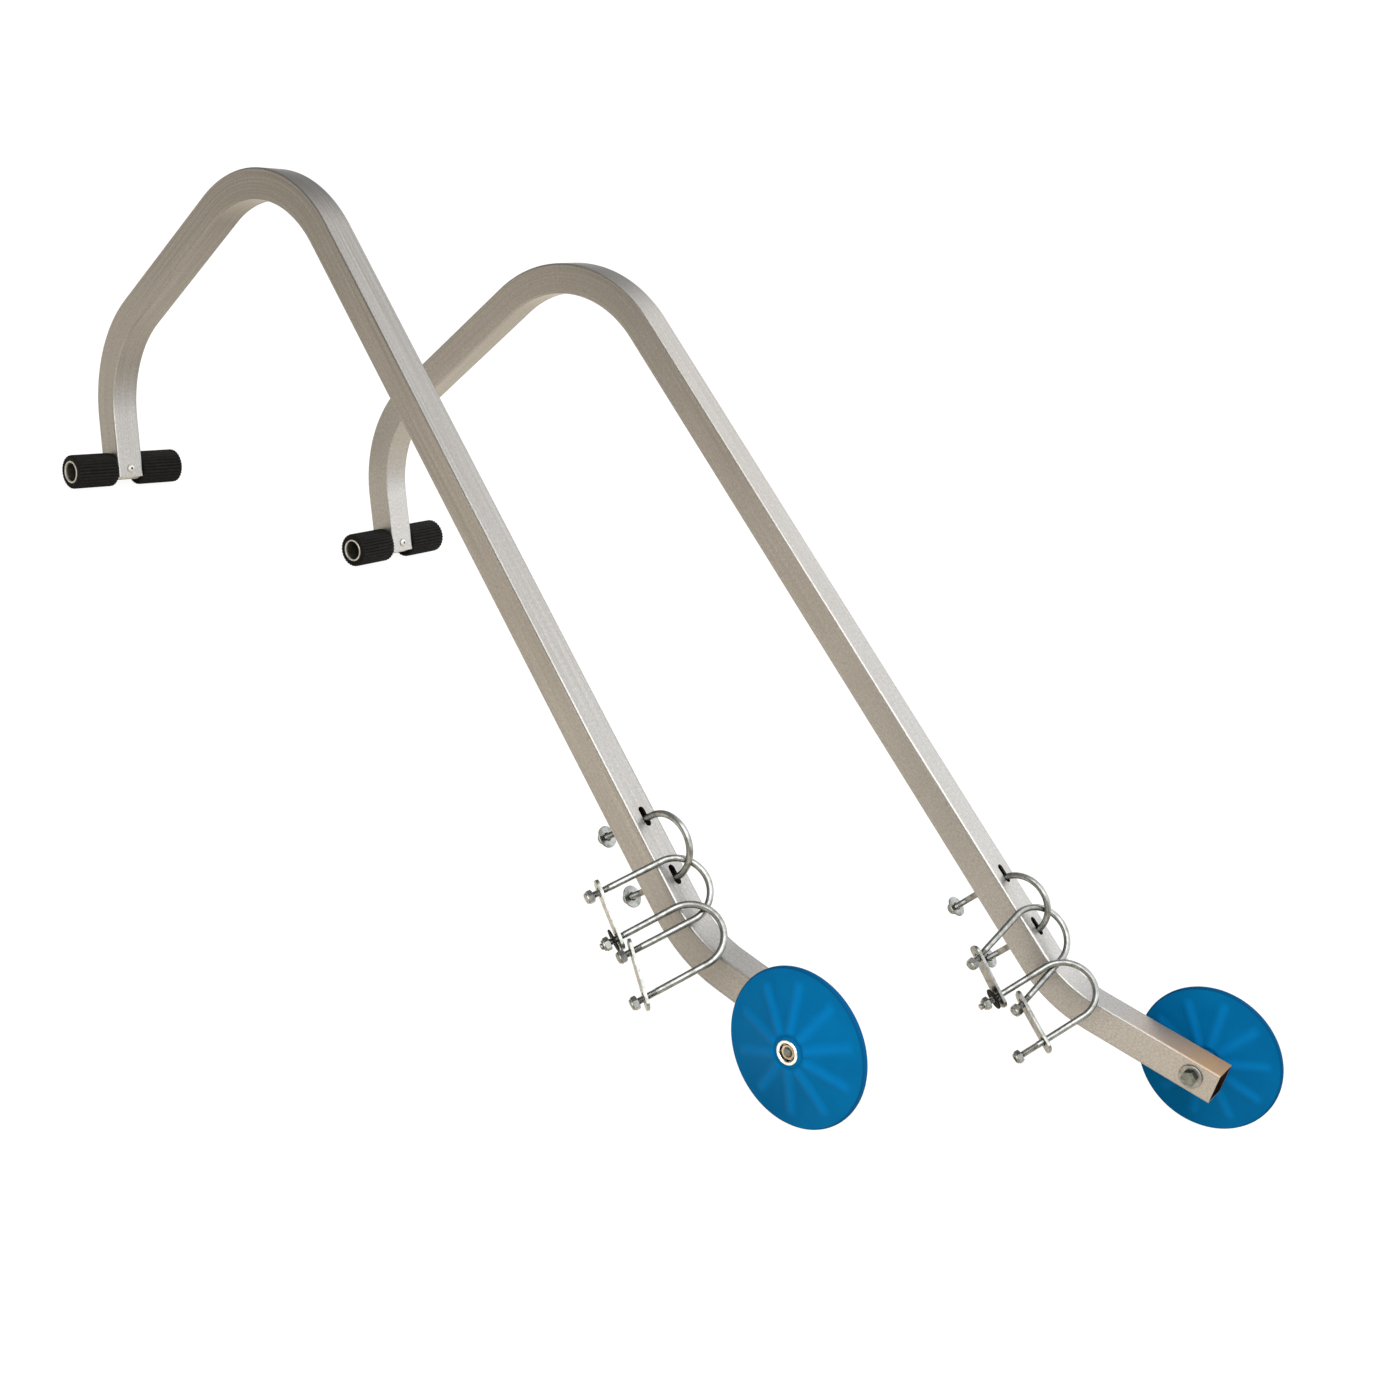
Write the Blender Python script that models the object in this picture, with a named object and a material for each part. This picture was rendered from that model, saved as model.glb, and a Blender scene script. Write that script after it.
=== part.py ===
"""A pair of roof ridge hooks that hold a ladder on a pitched roof.

Each hook is a bent square tube. A cross tube with two rubber sleeves at one end bears on the
far side of the ridge, and a plastic wheel at the other end rolls the ladder up the roof. One
U-bolt through slots in the arm holds the first rung. Two more U-bolts with two straps between
them clamp the next rung. The pair stands on a floor, as it does before it is fitted, with its
clamps hanging loose over the arms.

Metres, +Z up, floor at z = 0. A hook is built in its own frame: origin at the middle of the cross
tube, +X towards the wheel, hook in the XZ plane. The clamps are placed in the arm's frame: origin
on the tube's centreline where the tail bend starts, +X down the arm, +Z out of its outer face.
"""
import math

import bmesh
import bpy
from mathutils import Euler, Matrix, Vector

MM = 0.001
GAP = 0.3 * MM              # air between neighbouring solids
RUNNING_GAP = 0.05 * MM     # radial play of the wheel on its bushing

# Bent square tube
TUBE = 31.75 * MM
TUBE_WALL = 2.0 * MM
TUBE_CORNER = 2.0 * MM
BORE_CORNER = 0.6 * MM
BEND_RADIUS = 133.0 * MM
BEND_STEP = 5.0             # degrees between rings in a bend
LEG_ANGLE = 120.0           # directions from +X, in degrees, from the foot to the tail
NECK_ANGLE = 60.0
ARM_ANGLE = -27.0
TAIL_ANGLE = 6.0
LEG_END = 9.6 * MM          # tube below the foot's axis
NECK_LENGTH = 188.5 * MM
ARM_LENGTH = 758.0 * MM
TAIL_LENGTH = 133.0 * MM
AXLE_FROM_END = 24.2 * MM

# Foot: cross tube, sleeves and the screw that holds the cross tube
CROSS_TUBE_RADIUS = 12.7 * MM
CROSS_TUBE_WALL = 2.0 * MM
CROSS_TUBE_LENGTH = 136.0 * MM
SLEEVE_RADIUS = 19.05 * MM
SLEEVE_CHAMFER = 2.5 * MM
FOOT_SCREW_RADIUS = 2.4 * MM
FOOT_SCREW_HEAD_RADIUS = 4.4 * MM
FOOT_SCREW_HEAD = 2.6 * MM

# Wheel and axle
WHEEL_RADIUS = 71.0 * MM
WHEEL_MIDDLE = 17.6 * MM    # tube face to the wheel's mid plane
HUB_HALF = 15.0 * MM
WEB_INNER_RADIUS = 18.0 * MM
WEB_HALF_AT_HUB = 12.4 * MM
WEB_OUTER_RADIUS = 61.0 * MM
RIM_HALF = 3.1 * MM
RIM_CHAMFER = 1.6 * MM
BUSHING_RADIUS = 11.0 * MM
BUSHING_RECESS_RADIUS = 8.1 * MM
BUSHING_RECESS = 8.5 * MM
AXLE_RADIUS = 4.0 * MM
AXLE_HEAD_ACROSS = 13.0 * MM
AXLE_HEAD = 5.3 * MM
AXLE_NUT = 6.5 * MM
AXLE_WASHER_RADIUS = 11.5 * MM
AXLE_WASHER = 1.6 * MM

# Clamp hardware
WIRE_RADIUS = 3.175 * MM
U_BOLT_HALF_WIDTH = 30.0 * MM
U_BOLT_BOW_STEPS = 14
NUT_ACROSS = 11.1 * MM
NUT_HEIGHT = 7.0 * MM
CLAMP_WASHER_RADIUS = 10.5 * MM
CLAMP_WASHER = 1.6 * MM
CLAMP_WASHER_BORE = 3.9 * MM
STRAP_LENGTH = 66.0 * MM
STRAP_WIDTH = 16.0 * MM
STRAP_THICKNESS = 3.0 * MM
STRAP_CORNER = 3.5 * MM
STRAP_HOLE_RADIUS = 4.7 * MM
SLOT_WIDTH = 7.4 * MM
SLOT_LENGTH = 20.0 * MM
SLOT_MIDDLES = (-85.5 * MM, -25.5 * MM)

# A U-bolt's upper leg is on its -X side and its lower leg on its +X side
LEVELS = ("upper", "lower")
SIDES = (-1, 1)

# The right hook stands beside the left one, turned a little away from it
HOOKS = {
    "left": {"place": (0.0, 0.0), "yaw": 0.0, "wheel_side": -1},
    "right": {"place": (212.0 * MM, 240.0 * MM), "yaw": 5.48, "wheel_side": 1},
}

# Loose clamps as they hang: bow centre in the arm's frame (mm), turn (degrees), leg length below
# the bow's centre (mm), and how far down the legs the middles of the nuts, washers and straps sit
# (mm). Each pair of numbers is the upper leg and the lower leg of a bolt, or the back bolt and the
# front bolt of a strap. None is a leg without a washer.
CLAMPS = {
    "left": {
        "slot": {
            "at": (-52.2, 0.0, 20.5), "turn": (0.0, 8.5, 0.0), "leg": 72.0,
            "nuts": (68.9, 66.4), "washers": (64.3, 61.8),
        },
        "back": {
            "at": (-9.6, -13.4, 22.0), "turn": (-59.8, -1.7, 1.0), "leg": 78.0,
            "nuts": (74.0, 74.4), "washers": (None, None),
        },
        "front": {
            "at": (33.1, -27.0, 22.9), "turn": (-51.0, -10.5, -6.4), "leg": 73.5,
            "nuts": (67.8, 72.0), "washers": (60.4, None),
        },
        "straps": {"upper": (62.8, 55.4), "lower": (63.8, 61.4)},
    },
    "right": {
        "slot": {
            "at": (-51.5, 0.0, 11.7), "turn": (0.0, 0.0, 0.0), "leg": 72.0,
            "nuts": (68.6, 67.9), "washers": (64.0, 63.3),
        },
        "back": {
            "at": (-15.8, -15.1, 20.2), "turn": (-62.6, -7.1, 11.6), "leg": 76.5,
            "nuts": (72.6, 73.0), "washers": (None, None),
        },
        "front": {
            "at": (38.9, -36.3, 24.9), "turn": (-45.9, -15.6, -14.7), "leg": 76.5,
            "nuts": (69.0, 75.0), "washers": (60.2, None),
        },
        "straps": {"upper": (62.3, 54.6), "lower": (62.4, 45.1)},
    },
}

ALUMINIUM = ("extruded_aluminium", (0.62, 0.58, 0.54), 0.42, 1.0)
ZINC = ("zinc_plated_steel", (0.66, 0.67, 0.66), 0.32, 1.0)
RUBBER = ("black_rubber", (0.022, 0.022, 0.022), 0.75, 0.0)
PLASTIC = ("blue_plastic", (0.0, 0.15, 0.40), 0.38, 0.0)


# ---------------------------------------------------------------- scene and shape helpers


def clear_scene():
    for obj in list(bpy.data.objects):
        bpy.data.objects.remove(obj, do_unlink=True)


def finish_material(name, finish):
    """One Principled material for one piece, in one of the four finishes above."""
    label, colour, roughness, metallic = finish
    material = bpy.data.materials.new(f"{name}_{label}")
    material.use_nodes = True
    shader = material.node_tree.nodes["Principled BSDF"]
    shader.inputs["Base Color"].default_value = (*colour, 1.0)
    shader.inputs["Roughness"].default_value = roughness
    shader.inputs["Metallic"].default_value = metallic
    return material


def empty(name, parent, matrix):
    """An empty that carries a frame; matrix is given in the parent's frame."""
    frame = bpy.data.objects.new(name, None)
    frame.empty_display_size = 20 * MM
    bpy.context.collection.objects.link(frame)
    frame.parent = parent
    frame.matrix_local = matrix
    return frame


def add_piece(name, data, finish, parent, matrix=None):
    """A named object in a parent's frame, with a material of its own."""
    piece = bpy.data.objects.new(name, data)
    bpy.context.collection.objects.link(piece)
    data.materials.append(finish_material(name, finish))
    piece.parent = parent
    piece.matrix_local = matrix or Matrix.Identity(4)
    return piece


def mesh_from(name, bm, smooth_angle=35.0):
    """A closed mesh with its faces pointing out, smooth except at its edges."""
    bmesh.ops.recalc_face_normals(bm, faces=bm.faces)
    mesh = bpy.data.meshes.new(name)
    bm.to_mesh(mesh)
    bm.free()
    mesh.shade_smooth()
    mesh.set_sharp_from_angle(angle=math.radians(smooth_angle))
    return mesh


def bridge(bm, loop_a, loop_b):
    count = len(loop_a)
    for i in range(count):
        j = (i + 1) % count
        bm.faces.new((loop_a[i], loop_a[j], loop_b[j], loop_b[i]))


def mesh_through(name, loops, bored):
    """A solid through loops of points with equal counts.

    A bored solid's last loop joins its first one, and the other kind has its ends filled.
    """
    bm = bmesh.new()
    rings = [[bm.verts.new(point) for point in loop] for loop in loops]
    for ring_a, ring_b in zip(rings, rings[1:]):
        bridge(bm, ring_a, ring_b)
    if bored:
        bridge(bm, rings[-1], rings[0])
    else:
        bm.faces.new(rings[0])
        bm.faces.new(rings[-1])
    return mesh_from(name, bm)


def circle(radius, height, sides):
    """A level circle of points around Z."""
    turns = [2 * math.pi * i / sides for i in range(sides)]
    return [Vector((radius * math.cos(t), radius * math.sin(t), height)) for t in turns]


def hexagon(across_flats, height, sides):
    """A level hexagon of points around Z, with as many points as a circle to bridge to."""
    apothem = across_flats / 2
    points = []
    for i in range(sides):
        turn = 2 * math.pi * i / sides
        off_flat = (turn + math.pi / 6) % (math.pi / 3) - math.pi / 6
        radius = apothem / math.cos(off_flat)
        points.append(Vector((radius * math.cos(turn), radius * math.sin(turn), height)))
    return points


def turned(name, profile, sides, bored):
    """A turned solid around Z; the profile is a list of (radius, height)."""
    return mesh_through(name, [circle(r, h, sides) for r, h in profile], bored)


def cut(piece, cutter):
    """Subtract a cutter from a piece and keep the cutter out of the model."""
    cutter.parent = piece
    cutter.hide_render = True
    cutter.display_type = "WIRE"
    modifier = piece.modifiers.new(f"cut_{cutter.name}", "BOOLEAN")
    modifier.operation = "DIFFERENCE"
    modifier.object = cutter


def cutter_from(name, mesh, matrix):
    cutter = bpy.data.objects.new(name, mesh)
    bpy.context.collection.objects.link(cutter)
    cutter.matrix_local = matrix
    return cutter


def round_cutter(name, radius, length, matrix, sides=24):
    """A cylinder along its own Z, centred on the matrix."""
    ends = [(radius, -length / 2), (radius, length / 2)]
    return cutter_from(name, turned(name, ends, sides, bored=False), matrix)


def slot_outline(points_per_end=8):
    """Round-ended slot outline around the origin, long side along X."""
    half = (SLOT_LENGTH - SLOT_WIDTH) / 2
    radius = SLOT_WIDTH / 2
    outline = []
    for end in (1, -1):
        for i in range(points_per_end):
            turn = math.pi * (i / (points_per_end - 1) - 0.5)
            outline.append((end * (half + radius * math.cos(turn)), end * radius * math.sin(turn)))
    return outline


def slot_cutter(name, matrix):
    """A round-ended slot along X that cuts through both walls along Z."""
    loops = [[Vector((x, y, z)) for x, y in slot_outline()] for z in (-TUBE, TUBE)]
    return cutter_from(name, mesh_through(name, loops, bored=False), matrix)


# ---------------------------------------------------------------- the hook's centreline


def heading(angle):
    return Vector((math.cos(math.radians(angle)), 0.0, math.sin(math.radians(angle))))


def bend(start, angle_in, angle_out):
    """Points and directions around a bend, without its first point."""
    turn = 1.0 if angle_out > angle_in else -1.0
    centre = start + heading(angle_in + 90.0 * turn) * BEND_RADIUS
    steps = max(1, round(abs(angle_out - angle_in) / BEND_STEP))
    stations = []
    for i in range(1, steps + 1):
        angle = angle_in + (angle_out - angle_in) * i / steps
        stations.append((centre - heading(angle + 90.0 * turn) * BEND_RADIUS, angle))
    return stations


def centreline(leg_length):
    """Stations (point, direction) from the leg's end to the tail's end.

    The origin is the foot's axis. Each straight is followed by the bend to the next direction.
    """
    angles = (LEG_ANGLE, NECK_ANGLE, ARM_ANGLE, TAIL_ANGLE)
    lengths = (leg_length, NECK_LENGTH, ARM_LENGTH, TAIL_LENGTH)
    stations = [(-heading(LEG_ANGLE) * LEG_END, LEG_ANGLE)]
    point = Vector((0.0, 0.0, 0.0))
    for i, (angle, length) in enumerate(zip(angles, lengths)):
        point = point + heading(angle) * length
        stations.append((point, angle))
        if i + 1 < len(angles):
            stations += bend(point, angle, angles[i + 1])
            point = stations[-1][0]
    return stations


def leg_length_for_floor():
    """The leg's length that lets the wheel and the sleeves stand on one floor."""
    tail_end = centreline(0.0)[-1][0]
    axle = tail_end - heading(TAIL_ANGLE) * AXLE_FROM_END
    return (WHEEL_RADIUS - SLEEVE_RADIUS - axle.z) / heading(LEG_ANGLE).z


STATIONS = centreline(leg_length_for_floor())
TAIL_END = STATIONS[-1][0]
AXLE = TAIL_END - heading(TAIL_ANGLE) * AXLE_FROM_END
ARM_END = max(i for i, station in enumerate(STATIONS) if station[1] == ARM_ANGLE)
ARM_FRAME = Matrix.LocRotScale(STATIONS[ARM_END][0], Euler((0, math.radians(-ARM_ANGLE), 0)), None)

# Z of a turned piece laid along the hook's Y
ALONG_Y = Matrix.Rotation(math.radians(-90), 4, "X")


# ---------------------------------------------------------------- pieces of the hook


def square_section(size, corner):
    """Corner-cut square as (side, outward) pairs."""
    half = size / 2
    flat = half - corner
    return [(half, flat), (flat, half), (-flat, half), (-half, flat),
            (-half, -flat), (-flat, -half), (flat, -half), (half, -flat)]


def section_loops(size, corner):
    """One loop of the square section at each station of the centreline."""
    loops = []
    for point, angle in STATIONS:
        outward = heading(angle + 90.0)
        side = Vector((0.0, 1.0, 0.0))
        loops.append([point + side * s + outward * n for s, n in square_section(size, corner)])
    return loops


def hook_tube(name, frame):
    """The bent tube: open at both ends, with a notch for the foot and slots for the clamp."""
    outside = section_loops(TUBE, TUBE_CORNER)
    inside = section_loops(TUBE - 2 * TUBE_WALL, BORE_CORNER)
    mesh = mesh_through(name, outside + inside[::-1], bored=True)
    tube = add_piece(name, mesh, ALUMINIUM, frame)
    cut(tube, round_cutter(f"{name}_foot_notch", CROSS_TUBE_RADIUS + GAP, 2 * TUBE, ALONG_Y, 32))
    axle_hole = Matrix.Translation(AXLE) @ ALONG_Y
    cut(tube, round_cutter(f"{name}_axle_hole", AXLE_RADIUS + GAP, 2 * TUBE, axle_hole, 16))
    screw_hole = foot_screw_frame() @ Matrix.Translation((0, 0, -TUBE_WALL / 2))
    screw_cutter = round_cutter(f"{name}_screw_hole", FOOT_SCREW_RADIUS + GAP, 3 * TUBE_WALL, screw_hole, 12)
    cut(tube, screw_cutter)
    for i, middle in enumerate(SLOT_MIDDLES):
        place = ARM_FRAME @ Matrix.Translation((middle, 0, 0))
        cut(tube, slot_cutter(f"{name}_slot_{i}", place))


def foot_screw_frame():
    """Z out of the leg's inner face, at the foot's axis."""
    inward = heading(LEG_ANGLE - 90.0)
    turn = Matrix.Rotation(math.radians(180.0 - LEG_ANGLE), 4, "Y")
    return Matrix.Translation(inward * TUBE / 2) @ turn


def foot(prefix, frame):
    """Cross tube in the leg's notch, a sleeve on each half of it and the screw that holds it."""
    half = CROSS_TUBE_LENGTH / 2
    inner = CROSS_TUBE_RADIUS - CROSS_TUBE_WALL
    profile = [(CROSS_TUBE_RADIUS, -half), (CROSS_TUBE_RADIUS, half), (inner, half), (inner, -half)]
    name = f"{prefix}_cross_tube"
    tube = add_piece(name, turned(name, profile, 32, bored=True), ZINC, frame, ALONG_Y)
    # the screw passes the wall of the cross tube, in the cross tube's own frame
    screw_hole = ALONG_Y.inverted() @ foot_screw_frame()
    screw_hole = screw_hole @ Matrix.Translation((0, 0, -TUBE / 2 + CROSS_TUBE_RADIUS))
    hole_length = 3 * CROSS_TUBE_WALL
    cut(tube, round_cutter(f"{name}_hole", FOOT_SCREW_RADIUS + GAP, hole_length, screw_hole, 12))

    for label, side in (("front", -1), ("back", 1)):
        name = f"{prefix}_{label}_sleeve"
        start = TUBE / 2 + GAP
        bore = CROSS_TUBE_RADIUS + GAP
        shoulder = SLEEVE_RADIUS - SLEEVE_CHAMFER
        profile = [
            (shoulder, start), (SLEEVE_RADIUS, start + SLEEVE_CHAMFER),
            (SLEEVE_RADIUS, half - SLEEVE_CHAMFER), (shoulder, half), (bore, half), (bore, start),
        ]
        place = ALONG_Y if side > 0 else Matrix.Rotation(math.radians(90), 4, "X")
        add_piece(name, turned(name, profile, 40, bored=True), RUBBER, frame, place)

    name = f"{prefix}_foot_screw"
    tip = -(TUBE / 2 - CROSS_TUBE_RADIUS + 2 * CROSS_TUBE_WALL)
    profile = [
        (FOOT_SCREW_RADIUS, tip), (FOOT_SCREW_RADIUS, GAP), (FOOT_SCREW_HEAD_RADIUS, GAP),
        (FOOT_SCREW_HEAD_RADIUS, FOOT_SCREW_HEAD / 2), (FOOT_SCREW_HEAD_RADIUS / 2, FOOT_SCREW_HEAD),
    ]
    add_piece(name, turned(name, profile, 12, bored=False), ZINC, frame, foot_screw_frame())


def wheel_and_axle(prefix, frame, wheel_side):
    """Wheel set around the axle; its own +Z points from the tube out through the wheel."""
    turn = Matrix.Rotation(math.radians(-90.0 * wheel_side), 4, "X")
    axle_frame = empty(f"{prefix}_axle_frame", frame, Matrix.Translation(AXLE) @ turn)
    face = TUBE / 2
    middle = face + WHEEL_MIDDLE
    hub_outer = middle + HUB_HALF

    name = f"{prefix}_wheel"
    half_profile = [
        (BUSHING_RADIUS + RUNNING_GAP, HUB_HALF), (WEB_INNER_RADIUS, WEB_HALF_AT_HUB),
        (WEB_OUTER_RADIUS, RIM_HALF), (WHEEL_RADIUS - RIM_CHAMFER, RIM_HALF),
        (WHEEL_RADIUS, RIM_HALF - RIM_CHAMFER),
    ]
    profile = half_profile + [(r, -h) for r, h in half_profile[::-1]]
    place = Matrix.Translation((0, 0, middle))
    add_piece(name, turned(name, profile, 64, bored=True), PLASTIC, axle_frame, place)

    name = f"{prefix}_wheel_bushing"
    bore = AXLE_RADIUS + GAP
    outer_end = hub_outer + GAP
    recess_floor = outer_end - BUSHING_RECESS
    profile = [
        (bore, face + GAP), (BUSHING_RADIUS, face + GAP), (BUSHING_RADIUS, outer_end),
        (BUSHING_RECESS_RADIUS, outer_end), (BUSHING_RECESS_RADIUS, recess_floor), (bore, recess_floor),
    ]
    add_piece(name, turned(name, profile, 32, bored=True), ZINC, axle_frame)

    name = f"{prefix}_axle_nut"
    nut = hex_nut(name, AXLE_HEAD_ACROSS, AXLE_NUT, AXLE_RADIUS + GAP)
    place = Matrix.Translation((0, 0, recess_floor + GAP + AXLE_NUT / 2))
    add_piece(name, nut, ZINC, axle_frame, place)

    name = f"{prefix}_axle_washer"
    profile = [
        (AXLE_RADIUS + GAP, 0.0), (AXLE_WASHER_RADIUS, 0.0),
        (AXLE_WASHER_RADIUS, AXLE_WASHER), (AXLE_RADIUS + GAP, AXLE_WASHER),
    ]
    place = Matrix.Translation((0, 0, -face - GAP - AXLE_WASHER))
    add_piece(name, turned(name, profile, 32, bored=True), ZINC, axle_frame, place)

    name = f"{prefix}_axle_bolt"
    head_top = -face - 2 * GAP - AXLE_WASHER
    sides = 24
    loops = [
        hexagon(AXLE_HEAD_ACROSS, head_top - AXLE_HEAD, sides), hexagon(AXLE_HEAD_ACROSS, head_top, sides),
        circle(AXLE_RADIUS, head_top, sides), circle(AXLE_RADIUS, outer_end - GAP, sides),
    ]
    add_piece(name, mesh_through(name, loops, bored=False), ZINC, axle_frame)


# ---------------------------------------------------------------- clamp hardware


def hex_nut(name, across, height, bore):
    sides = 12
    half = height / 2
    loops = [
        circle(bore, -half, sides), hexagon(across, -half, sides),
        hexagon(across, half, sides), circle(bore, half, sides),
    ]
    return mesh_through(name, loops, bored=True)


def clamp_washer(name):
    bore = CLAMP_WASHER_BORE
    half = CLAMP_WASHER / 2
    profile = [(bore, -half), (CLAMP_WASHER_RADIUS, -half), (CLAMP_WASHER_RADIUS, half), (bore, half)]
    return turned(name, profile, 24, bored=True)


def u_bolt(name, leg):
    """Round wire in the XZ plane: bow up, legs down, origin at the bow's centre."""
    points = [(-U_BOLT_HALF_WIDTH, -leg)]
    for i in range(U_BOLT_BOW_STEPS + 1):
        turn = math.pi * (1 - i / U_BOLT_BOW_STEPS)
        points.append((U_BOLT_HALF_WIDTH * math.cos(turn), U_BOLT_HALF_WIDTH * math.sin(turn)))
    points.append((U_BOLT_HALF_WIDTH, -leg))
    curve = bpy.data.curves.new(name, "CURVE")
    curve.dimensions = "3D"
    curve.bevel_depth = WIRE_RADIUS
    curve.bevel_resolution = 2
    curve.use_fill_caps = True
    spline = curve.splines.new("POLY")
    spline.points.add(len(points) - 1)
    for knot, (x, z) in zip(spline.points, points):
        knot.co = (x, 0.0, z, 1.0)
    return curve


def strap_mesh(name):
    """Flat bar in the XY plane with cut corners, centred on its two holes."""
    x = STRAP_LENGTH / 2
    y = STRAP_WIDTH / 2
    c = STRAP_CORNER
    outline = [(x, y - c), (x - c, y), (c - x, y), (-x, y - c), (-x, c - y), (c - x, -y), (x - c, -y), (x, c - y)]
    half = STRAP_THICKNESS / 2
    return mesh_through(name, [[Vector((a, b, h)) for a, b in outline] for h in (-half, half)], bored=False)


def leg_point(bolt, side, depth):
    """A point on a U-bolt's leg, in the frame that the U-bolt is placed in."""
    return bolt @ Vector((side * U_BOLT_HALF_WIDTH, 0.0, -depth))


def strap_frame(back, front, side, depths):
    """The strap between one leg of the back bolt and the same leg of the front bolt."""
    start = leg_point(back, side, depths[0])
    end = leg_point(front, side, depths[1])
    along = (end - start).normalized()
    legs = (back.col[2].xyz + front.col[2].xyz).normalized()
    normal = (legs - along * legs.dot(along)).normalized()
    across = normal.cross(along)
    turn = Matrix((along, across, normal)).transposed().to_4x4()
    return Matrix.Translation((start + end) / 2) @ turn, (end - start).length


def pose(at, turn):
    angles = Euler([math.radians(angle) for angle in turn])
    return Matrix.LocRotScale(Vector(at) * MM, angles, None)


def u_bolt_set(prefix, label, arm, spec, washer_finish):
    """A U-bolt with a nut on each leg and its washers; returns where the U-bolt is in the arm's frame."""
    place = pose(spec["at"], spec["turn"])
    bolt_frame = empty(f"{prefix}_{label}_bolt_frame", arm, place)
    name = f"{prefix}_{label}_u_bolt"
    add_piece(name, u_bolt(name, spec["leg"] * MM), ZINC, bolt_frame)
    for level, side, nut_depth, washer_depth in zip(LEVELS, SIDES, spec["nuts"], spec["washers"]):
        name = f"{prefix}_{label}_{level}_nut"
        nut = hex_nut(name, NUT_ACROSS, NUT_HEIGHT, WIRE_RADIUS + GAP)
        nut_place = Matrix.Translation((side * U_BOLT_HALF_WIDTH, 0, -nut_depth * MM))
        add_piece(name, nut, ZINC, bolt_frame, nut_place)
        if washer_depth is not None:
            name = f"{prefix}_{label}_{level}_washer"
            washer_place = Matrix.Translation((side * U_BOLT_HALF_WIDTH, 0, -washer_depth * MM))
            add_piece(name, clamp_washer(name), washer_finish, bolt_frame, washer_place)
    return place


def clamps(prefix, arm, spec):
    """The U-bolt through the arm's slots, and two U-bolts over the arm with two straps between them."""
    u_bolt_set(prefix, "slot", arm, spec["slot"], ZINC)
    back = u_bolt_set(prefix, "back", arm, spec["back"], RUBBER)
    front = u_bolt_set(prefix, "front", arm, spec["front"], RUBBER)
    for level, side in zip(LEVELS, SIDES):
        name = f"{prefix}_{level}_strap"
        depths = [depth * MM for depth in spec["straps"][level]]
        place, hole_spacing = strap_frame(back, front, side, depths)
        strap = add_piece(name, strap_mesh(name), ZINC, arm, place)
        for end in (-1, 1):
            hole = Matrix.Translation((end * hole_spacing / 2, 0, 0))
            cut(strap, round_cutter(f"{name}_hole_{end + 1}", STRAP_HOLE_RADIUS, TUBE, hole, 16))


# ---------------------------------------------------------------- the pair


def build_hook(prefix, root, place, yaw, wheel_side):
    stand = Matrix.Translation((*place, SLEEVE_RADIUS)) @ Matrix.Rotation(math.radians(yaw), 4, "Z")
    frame = empty(f"{prefix}_hook_frame", root, stand)
    arm = empty(f"{prefix}_arm_frame", frame, ARM_FRAME)
    hook_tube(f"{prefix}_hook_tube", frame)
    foot(prefix, frame)
    wheel_and_axle(prefix, frame, wheel_side)
    clamps(prefix, arm, CLAMPS[prefix])


def centre_on_origin(root):
    """Move the pair so that its box stands centred on the origin."""
    graph = bpy.context.evaluated_depsgraph_get()
    xs, ys = [], []
    for obj in bpy.data.objects:
        if obj.type == "EMPTY" or obj.hide_render:
            continue
        solid = obj.evaluated_get(graph)
        for vertex in solid.to_mesh().vertices:
            point = obj.matrix_world @ vertex.co
            xs.append(point.x)
            ys.append(point.y)
        solid.to_mesh_clear()
    root.location.x -= (min(xs) + max(xs)) / 2
    root.location.y -= (min(ys) + max(ys)) / 2


def main():
    clear_scene()
    root = empty("pair_frame", None, Matrix.Identity(4))
    for prefix, spec in HOOKS.items():
        build_hook(prefix, root, **spec)
    centre_on_origin(root)
    bpy.context.view_layer.update()


main()
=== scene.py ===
"""Looks of the pair of roof ridge hooks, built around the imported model.

Every CAD solid is replaced by a finer piece of the same size: tubes with rounded corners,
ribbed rubber, wheels with soft spokes, threaded U-bolts, chamfered nuts and rounded straps.
The sizes below repeat part.py's, because this script reads only the frame. Metres, +Z up.
"""
import math

import bmesh
import bpy
from mathutils import Euler, Matrix, Vector

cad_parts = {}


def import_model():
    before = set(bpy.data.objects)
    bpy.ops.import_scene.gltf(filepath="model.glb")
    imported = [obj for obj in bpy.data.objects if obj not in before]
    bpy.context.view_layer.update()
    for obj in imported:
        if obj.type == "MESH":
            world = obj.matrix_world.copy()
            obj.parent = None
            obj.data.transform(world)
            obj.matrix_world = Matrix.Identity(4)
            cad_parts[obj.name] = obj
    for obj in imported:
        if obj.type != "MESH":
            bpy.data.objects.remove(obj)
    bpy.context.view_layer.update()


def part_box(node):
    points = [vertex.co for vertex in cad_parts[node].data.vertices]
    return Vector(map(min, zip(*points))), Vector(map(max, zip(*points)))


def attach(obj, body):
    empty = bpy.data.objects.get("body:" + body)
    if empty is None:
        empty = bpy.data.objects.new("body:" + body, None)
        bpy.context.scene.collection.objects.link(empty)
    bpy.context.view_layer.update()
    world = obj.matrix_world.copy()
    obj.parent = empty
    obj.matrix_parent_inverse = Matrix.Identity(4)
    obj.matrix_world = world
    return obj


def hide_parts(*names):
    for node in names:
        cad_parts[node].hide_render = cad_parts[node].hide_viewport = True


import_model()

MM = 0.001

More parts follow.
